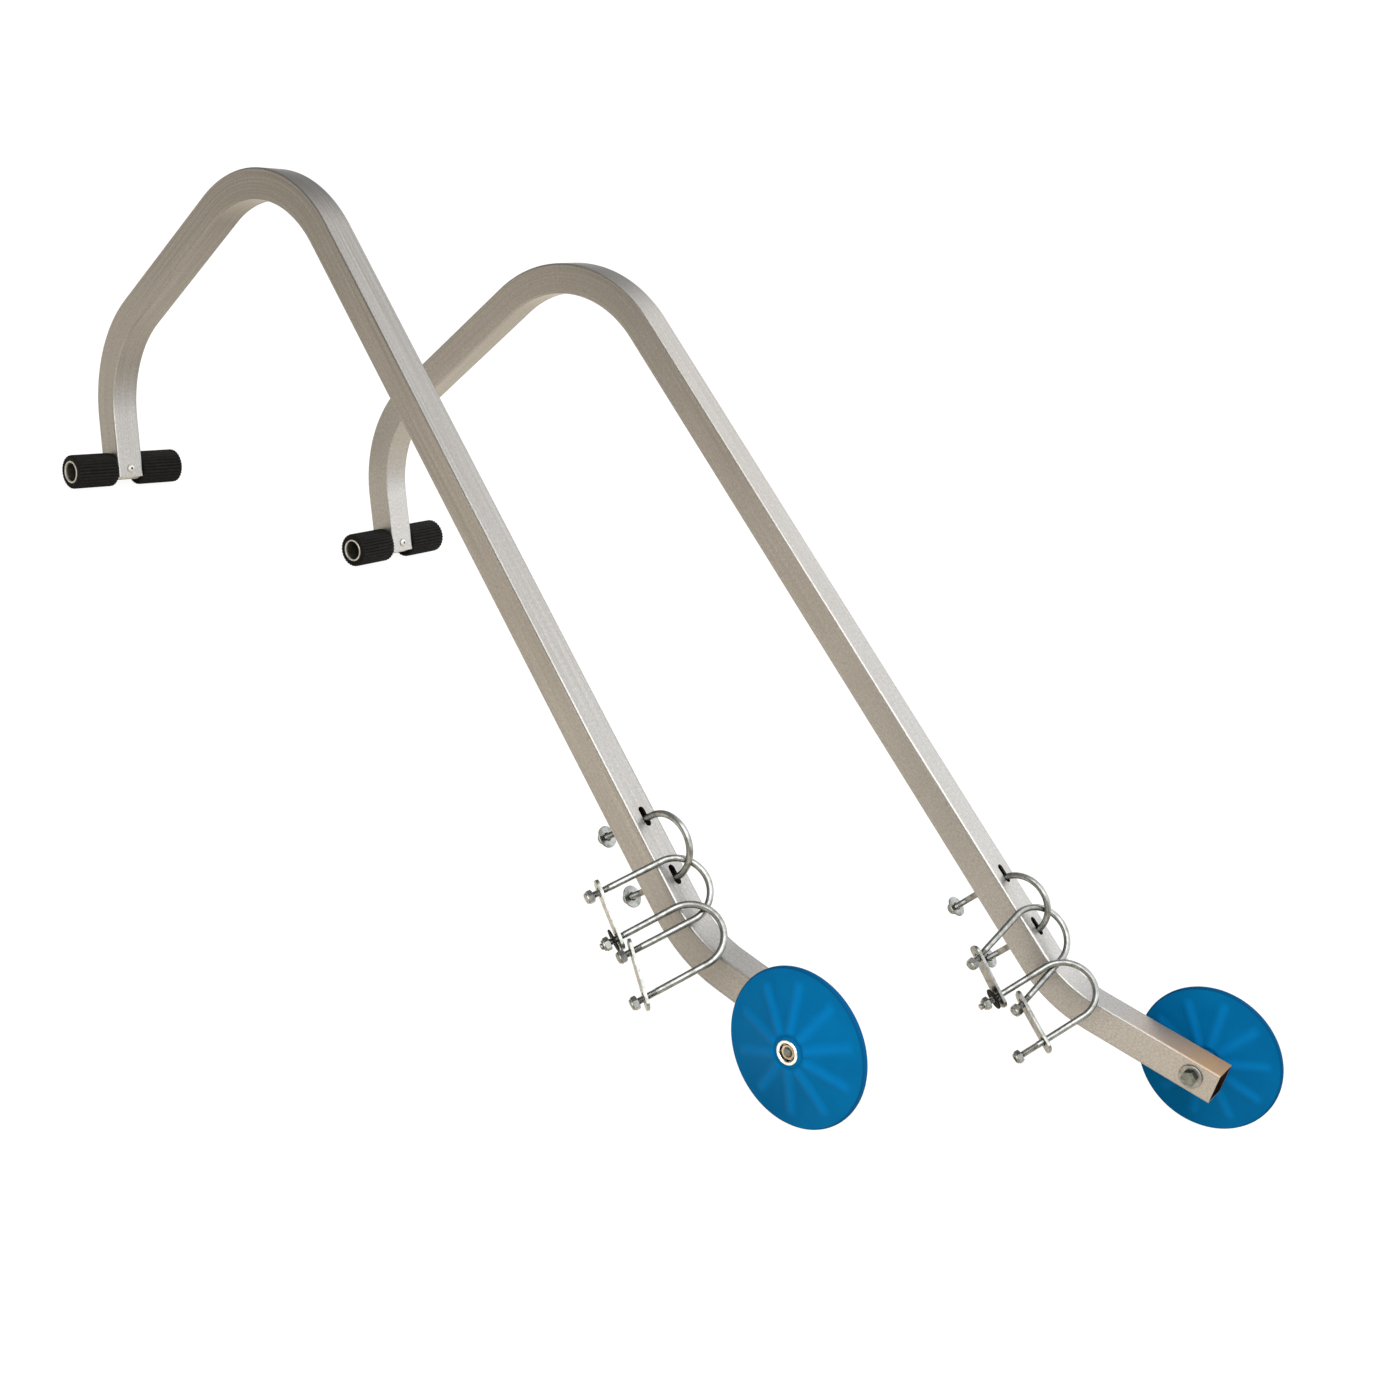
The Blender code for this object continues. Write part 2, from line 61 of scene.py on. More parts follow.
# Bent square tube
TUBE = 31.75 * MM
TUBE_WALL = 2.0 * MM
TUBE_CORNER = 2.2 * MM
BORE_CORNER = 0.8 * MM
BEND_RADIUS = 133.0 * MM
BEND_STEP = 1.5             # degrees between rings in a bend
LEG_ANGLE = 120.0           # directions from +X, in degrees, from the foot to the tail
NECK_ANGLE = 60.0
ARM_ANGLE = -27.0
TAIL_ANGLE = 6.0
LEG_END = 9.6 * MM
NECK_LENGTH = 188.5 * MM
ARM_LENGTH = 758.0 * MM
TAIL_LENGTH = 133.0 * MM
AXLE_FROM_END = 24.2 * MM
SLOT_WIDTH = 7.4 * MM
SLOT_LENGTH = 20.0 * MM
SLOT_MIDDLES = (-85.5 * MM, -25.5 * MM)

# Foot
CROSS_TUBE_RADIUS = 12.7 * MM
CROSS_TUBE_WALL = 2.0 * MM
CROSS_TUBE_LENGTH = 136.0 * MM
SLEEVE_RADIUS = 19.05 * MM
SLEEVE_ROUNDING = 2.6 * MM
RIB_COUNT = 30
RIB_DEPTH = 1.5 * MM
FOOT_SCREW_HEAD_RADIUS = 4.4 * MM
FOOT_SCREW_HEAD = 2.6 * MM
FOOT_SCREW_SOCKET = 1.3 * MM

# Wheel and axle
WHEEL_RADIUS = 71.0 * MM
WHEEL_MIDDLE = 17.6 * MM    # tube face to the wheel's mid plane
HUB_HALF = 15.0 * MM
HUB_EDGE = 12.5 * MM        # the hub's flat end stops here and rounds down to the web
HUB_FOOT = 18.0 * MM
WEB_HALF_AT_HUB = 13.2 * MM
WEB_END = 69.0 * MM         # where the sloping web has run out to the rim's thickness
WEB_CURVE = 1.35            # 1 is a straight cone, more is dished
RIM_HALF = 3.1 * MM
RIM_ROUNDING = 1.6 * MM
SPOKE_COUNT = 10
SPOKE_HALF_WIDTH = 8.0 * MM
SPOKE_HEIGHT = 1.3 * MM
SPOKE_START = 13.0 * MM
SPOKE_END = 64.0 * MM
SPOKE_FADE = 9.0 * MM
SPOKE_PHASE = 5.0           # degrees
BUSHING_RADIUS = 11.0 * MM
BUSHING_RECESS_RADIUS = 8.1 * MM
BUSHING_RECESS = 8.5 * MM
AXLE_RADIUS = 4.0 * MM
AXLE_HEAD_ACROSS = 13.0 * MM
AXLE_HEAD = 5.3 * MM
AXLE_NUT = 6.5 * MM
AXLE_WASHER_RADIUS = 11.5 * MM
AXLE_WASHER = 1.6 * MM

# Clamp hardware
WIRE_RADIUS = 3.175 * MM
U_BOLT_HALF_WIDTH = 30.0 * MM
THREAD_PITCH = 1.27 * MM
THREAD_DEPTH = 0.55 * MM
THREAD_LENGTH = 24.0 * MM
NUT_ACROSS = 11.1 * MM
NUT_HEIGHT = 7.0 * MM
NUT_COLLAR = 1.8 * MM       # round end of the nut, around its locking insert
NUT_BORE_RADIUS = 3.25 * MM
CLAMP_WASHER_RADIUS = 10.5 * MM
CLAMP_WASHER = 1.6 * MM
CLAMP_WASHER_BORE = 3.9 * MM
STRAP_LENGTH = 66.0 * MM
STRAP_WIDTH = 16.0 * MM
STRAP_THICKNESS = 3.0 * MM
STRAP_END_RADIUS = 6.0 * MM
STRAP_HOLE_RADIUS = 4.7 * MM
THREAD_TIP = 0.8 * MM       # plain cone at the end of a threaded leg
THREAD_TIP_CHAMFER = 0.4 * MM
NUT_LEAD_IN = 0.5 * MM
HEX_CHAMFER_START = 0.96    # of half the width across flats
HEX_CHAMFER_ANGLE = 28.0
GAP = 0.3 * MM              # between neighbours, as in part.py
CLOSE_GAP = 0.1 * MM        # between a bore and what fills it
SMOOTH_ANGLE = 32.0         # degrees between faces, above which an edge stays sharp

# A U-bolt's upper leg is on its -X side and its lower leg on its +X side
LEVELS = ("upper", "lower")
SIDES = (-1, 1)

YAW = {"left": 0.0, "right": 5.48}          # turn of each hook about Z, in degrees
WHEEL_SIDE = {"left": -1, "right": 1}       # which side of its tube each wheel is on, along Y

# Loose clamps as they hang, as in part.py: bow centre in the arm's frame (mm), turn (degrees), leg
# length below the bow's centre (mm), and how far down the legs the middles of the nuts, washers
# and straps sit (mm). Each pair of numbers is the upper leg and the lower leg of a bolt, or the
# back bolt and the front bolt of a strap. None is a leg without a washer.
CLAMPS = {
    "left": {
        "slot": {
            "at": (-52.2, 0.0, 20.5), "turn": (0.0, 8.5, 0.0), "leg": 72.0,
            "nuts": (68.9, 66.4), "washers": (64.3, 61.8),
        },
        "back": {
            "at": (-9.6, -13.4, 22.0), "turn": (-59.8, -1.7, 1.0), "leg": 78.0,
            "nuts": (74.0, 74.4), "washers": (None, None),
        },
        "front": {
            "at": (33.1, -27.0, 22.9), "turn": (-51.0, -10.5, -6.4), "leg": 73.5,
            "nuts": (67.8, 72.0), "washers": (60.4, None),
        },
        "straps": {"upper": (62.8, 55.4), "lower": (63.8, 61.4)},
    },
    "right": {
        "slot": {
            "at": (-51.5, 0.0, 11.7), "turn": (0.0, 0.0, 0.0), "leg": 72.0,
            "nuts": (68.6, 67.9), "washers": (64.0, 63.3),
        },
        "back": {
            "at": (-15.8, -15.1, 20.2), "turn": (-62.6, -7.1, 11.6), "leg": 76.5,
            "nuts": (72.6, 73.0), "washers": (None, None),
        },
        "front": {
            "at": (38.9, -36.3, 24.9), "turn": (-45.9, -15.6, -14.7), "leg": 76.5,
            "nuts": (69.0, 75.0), "washers": (60.2, None),
        },
        "straps": {"upper": (62.3, 54.6), "lower": (62.4, 45.1)},
    },
}

# Colours, as linear reflectance. A pair is the two tones that a cloudy surface varies between.
# The tubes' pair is different: it is painted light and shade, running from lighter at the floor to darker
# at the top, and each hook has its own painted lightness.
ALUMINIUM_LIT_AND_SHADED_COLOURS = ((0.285, 0.283, 0.280), (0.190, 0.182, 0.172))
PAINTED_SHADING_HEIGHTS = (0.05, 0.45)
PAINTED_HOOK_LIGHTNESS = {"left": 0.94, "right": 1.20}
CLOUD_COLOUR = (0.20, 0.185, 0.165)
STREAK_COLOUR = (0.36, 0.35, 0.335)
SPECKLE_COLOUR = (0.12, 0.11, 0.095)
MARK_COLOUR = (0.14, 0.12, 0.10)
STAIN_COLOUR = (0.29, 0.165, 0.065)
STAIN_REACH = (0.11, 0.02)  # from the tail's end: where the stain begins and where it is full
# Painted shade inside the square tube's bore
BORE_SHADE_COLOUR = (0.035, 0.018, 0.010)
ZINC_COLOURS = ((0.225, 0.232, 0.225), (0.11, 0.112, 0.103))
BUSHING_COLOURS = ((0.72, 0.73, 0.73), (0.55, 0.53, 0.49))
TAN_ZINC_COLOURS = ((0.42, 0.36, 0.28), (0.22, 0.16, 0.10))
AGED_ZINC_COLOURS = ((0.16, 0.172, 0.157), (0.05, 0.054, 0.047))
DULL_PLATE_COLOURS = ((0.42, 0.41, 0.385), (0.27, 0.26, 0.235))
# Painted shade in the cross tubes' bores and the screws' sockets, tinted olive as a painted reflection
CROSS_BORE_SHADE_COLOURS = ((0.060, 0.054, 0.036), (0.022, 0.020, 0.013))
RUBBER_COLOURS = ((0.0032, 0.003, 0.0027), (0.010, 0.0092, 0.008))
PLASTIC_COLOURS = ((0.0002, 0.068, 0.178), (0.0002, 0.080, 0.202))
SPOKE_COLOUR = (0.0006, 0.090, 0.243)
# Painted shade on the rim's rounded edge
RIM_SHADE_COLOUR = (0.0005, 0.040, 0.108)

# Camera, from the floor under the left foot's axis
CAMERA_AT = Vector((1.63385, -1.21595, 0.99919))
CAMERA_RIGHT = Vector((0.683972, 0.647446, 0.333914))
CAMERA_UP = Vector((-0.542826, 0.148290, 0.825730))
CAMERA_LENS = 48.23         # mm
CAMERA_SENSOR = 36.0        # mm
CAMERA_REACH = 200.0

# Light of the room: it grows from dark to bright towards one side
BRIGHT_SIDE = (0.45, 0.45, 0.77)
ROOM_LIGHT = ((0.45, 0.174), (0.95, 1.0))
ROOM_STRENGTH = 3.16
FLOOR_COLOUR = (0.75, 0.68, 0.575)
FLOOR_GLOW = 0.93           # what the camera sees of the floor: its own white and a trace of shade
FLOOR_SHADE = (0.09, 0.09, 0.09)
FLOOR_DROP = 0.4 * MM       # floor below the wheels, so that no faces meet
FLOOR_RADIUS = 60.0
BACKDROP_GLOW = 1.1         # what the camera sees of the room
LIGHTS = {
    "soft_key": {
        "at": (0.75, -1.0, 1.35), "target": (0.05, -0.45, 0.0),
        "size": 2.0, "power": 48.0, "colour": (1.0, 0.99, 0.97),
    },
    "low_back_fill": {
        "at": (-0.42, 1.2, 0.62), "target": (0.5, 0.0, 0.07),
        "size": 0.9, "power": 3.0, "colour": (1.0, 0.99, 0.98),
    },
}


# ---------------------------------------------------------------- the hook's centreline


def heading(angle):
    """Unit vector in the hook's plane, at an angle from +X."""
    return Vector((math.cos(math.radians(angle)), 0.0, math.sin(math.radians(angle))))


def bend(start, angle_in, angle_out):
    """Stations along an arc that starts at a point and turns from one angle to another."""
    turn = 1.0 if angle_out > angle_in else -1.0
    centre = start + heading(angle_in + 90.0 * turn) * BEND_RADIUS
    steps = max(1, round(abs(angle_out - angle_in) / BEND_STEP))
    stations = []
    for i in range(1, steps + 1):
        angle = angle_in + (angle_out - angle_in) * i / steps
        stations.append((centre - heading(angle + 90.0 * turn) * BEND_RADIUS, angle))
    return stations


def centreline(leg_length):
    """Stations (point, direction) from the leg's end to the tail's end. The foot's axis is the origin."""
    angles = (LEG_ANGLE, NECK_ANGLE, ARM_ANGLE, TAIL_ANGLE)
    lengths = (leg_length, NECK_LENGTH, ARM_LENGTH, TAIL_LENGTH)
    stations = [(-heading(LEG_ANGLE) * LEG_END, LEG_ANGLE)]
    point = Vector((0.0, 0.0, 0.0))
    for i, (angle, length) in enumerate(zip(angles, lengths)):
        point = point + heading(angle) * length
        stations.append((point, angle))
        if i + 1 < len(angles):
            stations += bend(point, angle, angles[i + 1])
            point = stations[-1][0]
    return stations


def leg_length_for_floor():
    """Leg length at which the sleeves and the wheel stand on one floor."""
    tail_end = centreline(0.0)[-1][0]
    axle = tail_end - heading(TAIL_ANGLE) * AXLE_FROM_END
    return (WHEEL_RADIUS - SLEEVE_RADIUS - axle.z) / heading(LEG_ANGLE).z


STATIONS = centreline(leg_length_for_floor())
AXLE = STATIONS[-1][0] - heading(TAIL_ANGLE) * AXLE_FROM_END
ARM_END = max(i for i, station in enumerate(STATIONS) if station[1] == ARM_ANGLE)
ARM_FRAME = Matrix.LocRotScale(STATIONS[ARM_END][0], Euler((0, math.radians(-ARM_ANGLE), 0)), None)
ALONG_Y = Matrix.Rotation(math.radians(-90), 4, "X")


def running_lengths(points):
    """Distance along a line of points, at each point."""
    lengths = [0.0]
    for a, b in zip(points, points[1:]):
        lengths.append(lengths[-1] + (Vector(b) - Vector(a)).length)
    return lengths


PATH_LENGTH = running_lengths([point for point, angle in STATIONS])[-1]


# ---------------------------------------------------------------- materials


class Nodes:
    """Short names for building a material's node tree."""

    def __init__(self, name):
        self.material = bpy.data.materials.new(name)
        self.material.use_nodes = True
        self.tree = self.material.node_tree
        self.shader = self.tree.nodes["Principled BSDF"]

    def add(self, kind, **settings):
        node = self.tree.nodes.new(kind)
        for key, value in settings.items():
            setattr(node, key, value)
        return node

    def link(self, source, target):
        self.tree.links.new(source, target)

    def coordinates(self, space, scale):
        """Object or UV coordinates times a scale per axis."""
        source = self.add("ShaderNodeTexCoord").outputs[space]
        mapping = self.add("ShaderNodeMapping")
        mapping.inputs["Scale"].default_value = scale
        self.link(source, mapping.inputs["Vector"])
        return mapping.outputs["Vector"]

    def noise(self, vector, scale=1.0, detail=3.0, roughness=0.5):
        node = self.add("ShaderNodeTexNoise")
        node.inputs["Scale"].default_value = scale
        node.inputs["Detail"].default_value = detail
        node.inputs["Roughness"].default_value = roughness
        self.link(vector, node.inputs["Vector"])
        return node.outputs["Fac"]

    def ramp(self, value, stops):
        """Colour ramp; stops are (position, grey or colour)."""
        node = self.add("ShaderNodeValToRGB")
        elements = node.color_ramp.elements
        while len(elements) < len(stops):
            elements.new(0.5)
        for element, (position, colour) in zip(elements, stops):
            element.position = position
            if isinstance(colour, float):
                colour = (colour, colour, colour)
            element.color = (*colour, 1.0)
        self.link(value, node.inputs["Fac"])
        return node.outputs["Color"]

    def mix(self, factor, first, second):
        """Mix of two colours, each an output or a plain colour. The factor is an output."""
        node = self.add("ShaderNodeMix", data_type="RGBA")
        sockets = (node.inputs[0], node.inputs[6], node.inputs[7])
        for socket, value in zip(sockets, (factor, first, second)):
            if isinstance(value, bpy.types.NodeSocket):
                self.link(value, socket)
            else:
                socket.default_value = (*value, 1.0)
        return node.outputs[2]

    def separate(self, vector, axis):
        node = self.add("ShaderNodeSeparateXYZ")
        self.link(vector, node.inputs["Vector"])
        return node.outputs[axis]

    def between(self, value, low, high):
        """A number from low..high moved to 0..1."""
        node = self.add("ShaderNodeMapRange")
        node.inputs["From Min"].default_value = low
        node.inputs["From Max"].default_value = high
        self.link(value, node.inputs["Value"])
        return node.outputs["Result"]

    def product(self, first, second):
        node = self.add("ShaderNodeMath", operation="MULTIPLY")
        self.link(first, node.inputs[0])
        self.link(second, node.inputs[1])
        return node.outputs["Value"]

    def spread(self, value, low, high):
        """A number from 0..1 moved to low..high."""
        node = self.add("ShaderNodeMapRange")
        node.inputs["To Min"].default_value = low
        node.inputs["To Max"].default_value = high
        self.link(value, node.inputs["Value"])
        return node.outputs["Result"]

    def bump(self, height, distance, strength=1.0, normal=None):
        node = self.add("ShaderNodeBump")
        node.inputs["Strength"].default_value = strength
        node.inputs["Distance"].default_value = distance
        self.link(height, node.inputs["Height"])
        if normal is not None:
            self.link(normal, node.inputs["Normal"])
        return node.outputs["Normal"]

    def finish(self, colour=None, roughness=None, normal=None, **numbers):
        """Link what varies and set what doesn't on the shader's own sockets."""
        for name, value in (("Base Color", colour), ("Roughness", roughness), ("Normal", normal)):
            if value is not None:
                self.link(value, self.shader.inputs[name])
        for name, value in numbers.items():
            self.shader.inputs[name.replace("_", " ")].default_value = value
        return self.material


def aluminium(name, painted_lightness):
    """Mill-finish extrusion: die lines along the tube, handling marks, stained tail, painted shade in the
    brown bore, and painted light and shade that is lighter at the floor and darker at the top.
    """
    n = Nodes(name)
    lines = n.noise(n.coordinates("UV", (2600.0, 9.0, 1.0)), detail=4.0, roughness=0.7)
    streaks = n.noise(n.coordinates("UV", (420.0, 5.0, 1.0)), detail=3.0)
    clouds = n.noise(n.coordinates("Object", (9.0, 9.0, 9.0)), detail=4.0, roughness=0.6)
    speckle = n.noise(n.coordinates("UV", (650.0, 330.0, 1.0)), detail=3.0, roughness=0.7)
    marks = n.noise(n.coordinates("UV", (260.0, 150.0, 1.0)), detail=6.0, roughness=0.75)
    flat = n.coordinates("UV", (1.0, 1.0, 1.0))
    path = n.separate(flat, "Y")
    height = n.separate(n.coordinates("Object", (1.0, 1.0, 1.0)), "Z")
    # Painted light and shade: lighter near the floor, darker towards the top, times each hook's painted
    # lightness
    low, high = [[c * painted_lightness for c in colour] for colour in ALUMINIUM_LIT_AND_SHADED_COLOURS]
    painted_shading = n.mix(n.between(height, *PAINTED_SHADING_HEIGHTS), low, high)
    clouded = n.mix(n.ramp(clouds, [(0.38, 0.0), (0.66, 0.22)]), painted_shading, CLOUD_COLOUR)
    streaked = n.mix(n.ramp(streaks, [(0.35, 0.0), (0.72, 0.45)]), clouded, STREAK_COLOUR)
    speckled = n.mix(n.ramp(speckle, [(0.40, 0.35), (0.62, 0.0)]), streaked, SPECKLE_COLOUR)
    marked = n.mix(n.ramp(marks, [(0.58, 0.0), (0.70, 0.55)]), speckled, MARK_COLOUR)
    stain_start, stain_full = [PATH_LENGTH - reach for reach in STAIN_REACH]
    near_end = n.between(path, stain_start, stain_full)
    on_top = n.spread(n.between(n.separate(flat, "X"), TUBE, TUBE + TUBE_CORNER), 0.95, 0.12)
    stain = n.product(n.product(near_end, on_top), n.ramp(speckle, [(0.30, 0.55), (0.60, 1.0)]))
    stained = n.mix(stain, marked, STAIN_COLOUR)
    # Painted shade inside the bore, past the tube's end
    inside = n.between(path, PATH_LENGTH + 0.5 * TUBE_WALL, PATH_LENGTH + TUBE_WALL)
    colour = n.mix(inside, stained, BORE_SHADE_COLOUR)
    n.link(n.spread(stain, 1.0, 0.15), n.shader.inputs["Metallic"])
    rough = n.spread(lines, 0.30, 0.52)
    normal = n.bump(lines, 0.00005, 0.5)
    normal = n.bump(streaks, 0.0003, 0.35, normal)
    return n.finish(colour, rough, normal)


def zinc(name, colours):
    """Bright zinc plate: slightly cloudy, with faint yellowish and dull patches."""
    n = Nodes(name)
    clouds = n.noise(n.coordinates("Object", (140.0, 140.0, 140.0)), detail=4.0, roughness=0.6)
    grain = n.noise(n.coordinates("Object", (900.0, 900.0, 900.0)), detail=2.0)
    colour = n.mix(n.ramp(clouds, [(0.40, 0.0), (0.70, 1.0)]), *colours)
    rough = n.spread(clouds, 0.20, 0.42)
    normal = n.bump(grain, 0.00006, 0.4)
    return n.finish(colour, rough, normal, Metallic=1.0)


def rubber():
    """Matt black rubber with a trace of dust."""
    n = Nodes("black_rubber")
    dust = n.noise(n.coordinates("Object", (160.0, 160.0, 160.0)), detail=5.0, roughness=0.7)
    grain = n.noise(n.coordinates("Object", (1400.0, 1400.0, 1400.0)), detail=2.0)
    colour = n.mix(n.ramp(dust, [(0.45, 0.0), (0.80, 1.0)]), *RUBBER_COLOURS)
    rough = n.spread(dust, 0.55, 0.8)
    normal = n.bump(grain, 0.00012, 0.5)
    return n.finish(colour, rough, normal, Specular_IOR_Level=0.07)


def blue_plastic():
    """Moulded wheel: satin blue, lighter where the spokes rise, and painted shade around the rim's rounded
    edge.
    """
    n = Nodes("blue_plastic")
    relief = n.add("ShaderNodeAttribute", attribute_name="relief").outputs["Fac"]
    rim_shade = n.add("ShaderNodeAttribute", attribute_name="rim_shade").outputs["Fac"]
    cloud = n.noise(n.coordinates("Object", (28.0, 28.0, 28.0)), detail=3.0)
    grain = n.noise(n.coordinates("Object", (700.0, 700.0, 700.0)), detail=2.0)
    base = n.mix(n.ramp(cloud, [(0.35, 0.0), (0.70, 1.0)]), *PLASTIC_COLOURS)
    ribbed = n.mix(relief, base, SPOKE_COLOUR)
    colour = n.mix(rim_shade, ribbed, RIM_SHADE_COLOUR)
    rough = n.spread(cloud, 0.36, 0.5)
    normal = n.bump(grain, 0.00008, 0.35)
    return n.finish(colour, rough, normal, Specular_IOR_Level=0.012)


def bored_zinc():
    """Dull plate of the cross tubes and foot screws. V is 0 on the outside and 1 deep in a bore or a
    socket, where olive-tinted painted shade darkens it.
    """
    n = Nodes("bored_zinc")
    clouds = n.noise(n.coordinates("Object", (200.0, 200.0, 200.0)), detail=4.0, roughness=0.6)
    depth = n.separate(n.coordinates("UV", (1.0, 1.0, 1.0)), "Y")
    plate = n.mix(n.ramp(clouds, [(0.40, 0.0), (0.70, 1.0)]), *DULL_PLATE_COLOURS)
    bore_shade = n.mix(n.ramp(clouds, [(0.40, 0.0), (0.70, 1.0)]), *CROSS_BORE_SHADE_COLOURS)
    return n.finish(n.mix(depth, plate, bore_shade), n.spread(clouds, 0.40, 0.60), Metallic=0.6)


# Each finish has its material and the record's material slot
MATERIALS = {
    # Lit and shaded copies of one aluminium: each hook's tubes carry a painted lightness of their own
    "left_aluminium": (aluminium("left_aluminium", PAINTED_HOOK_LIGHTNESS["left"]), "extruded_aluminium"),
    "right_aluminium": (aluminium("right_aluminium", PAINTED_HOOK_LIGHTNESS["right"]), "extruded_aluminium"),
    "zinc": (zinc("zinc_plated_steel", ZINC_COLOURS), "zinc_plated_steel"),
    "bushing": (zinc("bright_bushing", BUSHING_COLOURS), "zinc_plated_steel"),
    "tan_zinc": (zinc("tan_zinc", TAN_ZINC_COLOURS), "zinc_plated_steel"),
    "bored_zinc": (bored_zinc(), "zinc_plated_steel"),
    "aged_zinc": (zinc("aged_zinc", AGED_ZINC_COLOURS), "zinc_plated_steel"),
    "rubber": (rubber(), "black_rubber"),
    "plastic": (blue_plastic(), "blue_plastic"),
}


# ---------------------------------------------------------------- mesh helpers


def add_piece(name, mesh, finish, matrix, body, *nodes):
    """A piece that rides on a body and stands for its CAD nodes."""
    material, slot = MATERIALS[finish]
    mesh.transform(matrix)
    mesh.materials.append(material)
    piece = bpy.data.objects.new(name, mesh)
    bpy.context.collection.objects.link(piece)
    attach(piece, body)
    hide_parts(*nodes)
    return piece


def mesh_from(name, bm, smooth_angle=SMOOTH_ANGLE):
    """A mesh from a BMesh, which is freed, smooth where its faces meet at less than an angle."""
    bmesh.ops.recalc_face_normals(bm, faces=bm.faces)
    mesh = bpy.data.meshes.new(name)
    bm.to_mesh(mesh)
    bm.free()
    mesh.shade_smooth()
    mesh.set_sharp_from_angle(angle=math.radians(smooth_angle))
    return mesh


def loft(name, rings, bored=False, around=None, along=None, smooth_angle=SMOOTH_ANGLE):
    """A solid through rings of points. A bored one closes on itself, and another has filled ends.

    around and along give each point's and each ring's UV, in metres.
    """
    bm = bmesh.new()
    uv_layer = bm.loops.layers.uv.new("UVMap")
    rows = [[bm.verts.new(point) for point in ring] for ring in rings]
    count = len(rows[0])
    around = around or [j / count for j in range(count + 1)]
    along = along or [i / len(rows) for i in range(len(rows) + 1)]
    pairs = len(rows) if bored else len(rows) - 1
    for i in range(pairs):
        low, high = rows[i], rows[(i + 1) % len(rows)]
        for j in range(count):
            k = (j + 1) % count
            face = bm.faces.new((low[j], low[k], high[k], high[j]))
            corners = ((j, i), (j + 1, i), (j + 1, i + 1), (j, i + 1))
            for loop, (u, v) in zip(face.loops, corners):
                loop[uv_layer].uv = (around[u], along[v])
    if not bored:
        bm.faces.new(rows[0])
        bm.faces.new(rows[-1])
    return mesh_from(name, bm, smooth_angle)


def circle(radius, height, sides):
    """A ring of points around Z."""
    turns = [2 * math.pi * j / sides for j in range(sides)]
    return [Vector((radius * math.cos(t), radius * math.sin(t), height)) for t in turns]


def turned(name, profile, sides, bored=False, along=None):
    """A turned solid around Z from (radius, height) pairs."""
    return loft(name, [circle(r, h, sides) for r, h in profile], bored, along=along)


def drill(name, radius, low, high, sides):
    """Round cutter around Z."""
    return turned(name, [(radius, low), (radius, high)], sides)


def subtract(name, mesh, cutters):
    """The mesh minus the cutter meshes, each given with its matrix."""
    solid = bpy.data.objects.new(name, mesh)
    bpy.context.collection.objects.link(solid)
    tools = []
    for i, (cutter_mesh, matrix) in enumerate(cutters):
        tool = bpy.data.objects.new(f"{name}_cutter_{i}", cutter_mesh)
        bpy.context.collection.objects.link(tool)
        tool.matrix_world = matrix
        modifier = solid.modifiers.new(f"cut_{i}", "BOOLEAN")
        modifier.operation = "DIFFERENCE"
        modifier.object = tool
        tools.append(tool)
    bpy.context.view_layer.update()
    graph = bpy.context.evaluated_depsgraph_get()
    result = bpy.data.meshes.new_from_object(solid.evaluated_get(graph))
    for obj in [solid, *tools]:
        bpy.data.objects.remove(obj, do_unlink=True)
    result.name = name
    result.shade_smooth()
    result.set_sharp_from_angle(angle=math.radians(SMOOTH_ANGLE))
    return result


def arc(centre, radius, start, end, steps):
    """(x, y) points on an arc, angles in degrees."""
    points = []
    for i in range(steps + 1):
        turn = math.radians(start + (end - start) * i / steps)
        points.append((centre[0] + radius * math.cos(turn), centre[1] + radius * math.sin(turn)))
    return points


# ---------------------------------------------------------------- tube and foot


def square_section(size, corner, steps):
    """Rounded square as (side, outward) pairs, with a support point beside each corner."""
    flat = size / 2 - corner
    support = flat - 0.5 * MM
    points = []
    for start in (0, 90, 180, 270):
        x = flat * (1 if start in (0, 270) else -1)
        y = flat * (1 if start in (0, 90) else -1)
        points += arc((x, y), corner, start, start + 90, steps)
        if start == 0:
            points += [(support, size / 2), (-support, size / 2)]
        elif start == 90:
            points += [(-size / 2, support), (-size / 2, -support)]
        elif start == 180:
            points += [(-support, -size / 2), (support, -size / 2)]
        else:
            points += [(size / 2, -support), (size / 2, support)]
    return points


def section_rings(section):
    """The section at each station of the centreline."""
    rings = []
    for point, angle in STATIONS:
        outward = heading(angle + 90.0)
        rings.append([point + Vector((0.0, s, 0.0)) + outward * n for s, n in section])
    return rings


def slot_cutter(name):
    """Round-ended bar along X that cuts a slot through both walls."""
    half = (SLOT_LENGTH - SLOT_WIDTH) / 2
    outline = arc((half, 0), SLOT_WIDTH / 2, -90, 90, 12)
    outline += arc((-half, 0), SLOT_WIDTH / 2, 90, 270, 12)
    return loft(name, [[Vector((x, y, z)) for x, y in outline] for z in (-TUBE, TUBE)])


def screw_frame():
    """Z out of the leg's inner face, at the foot's axis."""
    inward = heading(LEG_ANGLE - 90.0)
    turn = Matrix.Rotation(math.radians(180.0 - LEG_ANGLE), 4, "Y")
    return Matrix.Translation(inward * TUBE / 2) @ turn


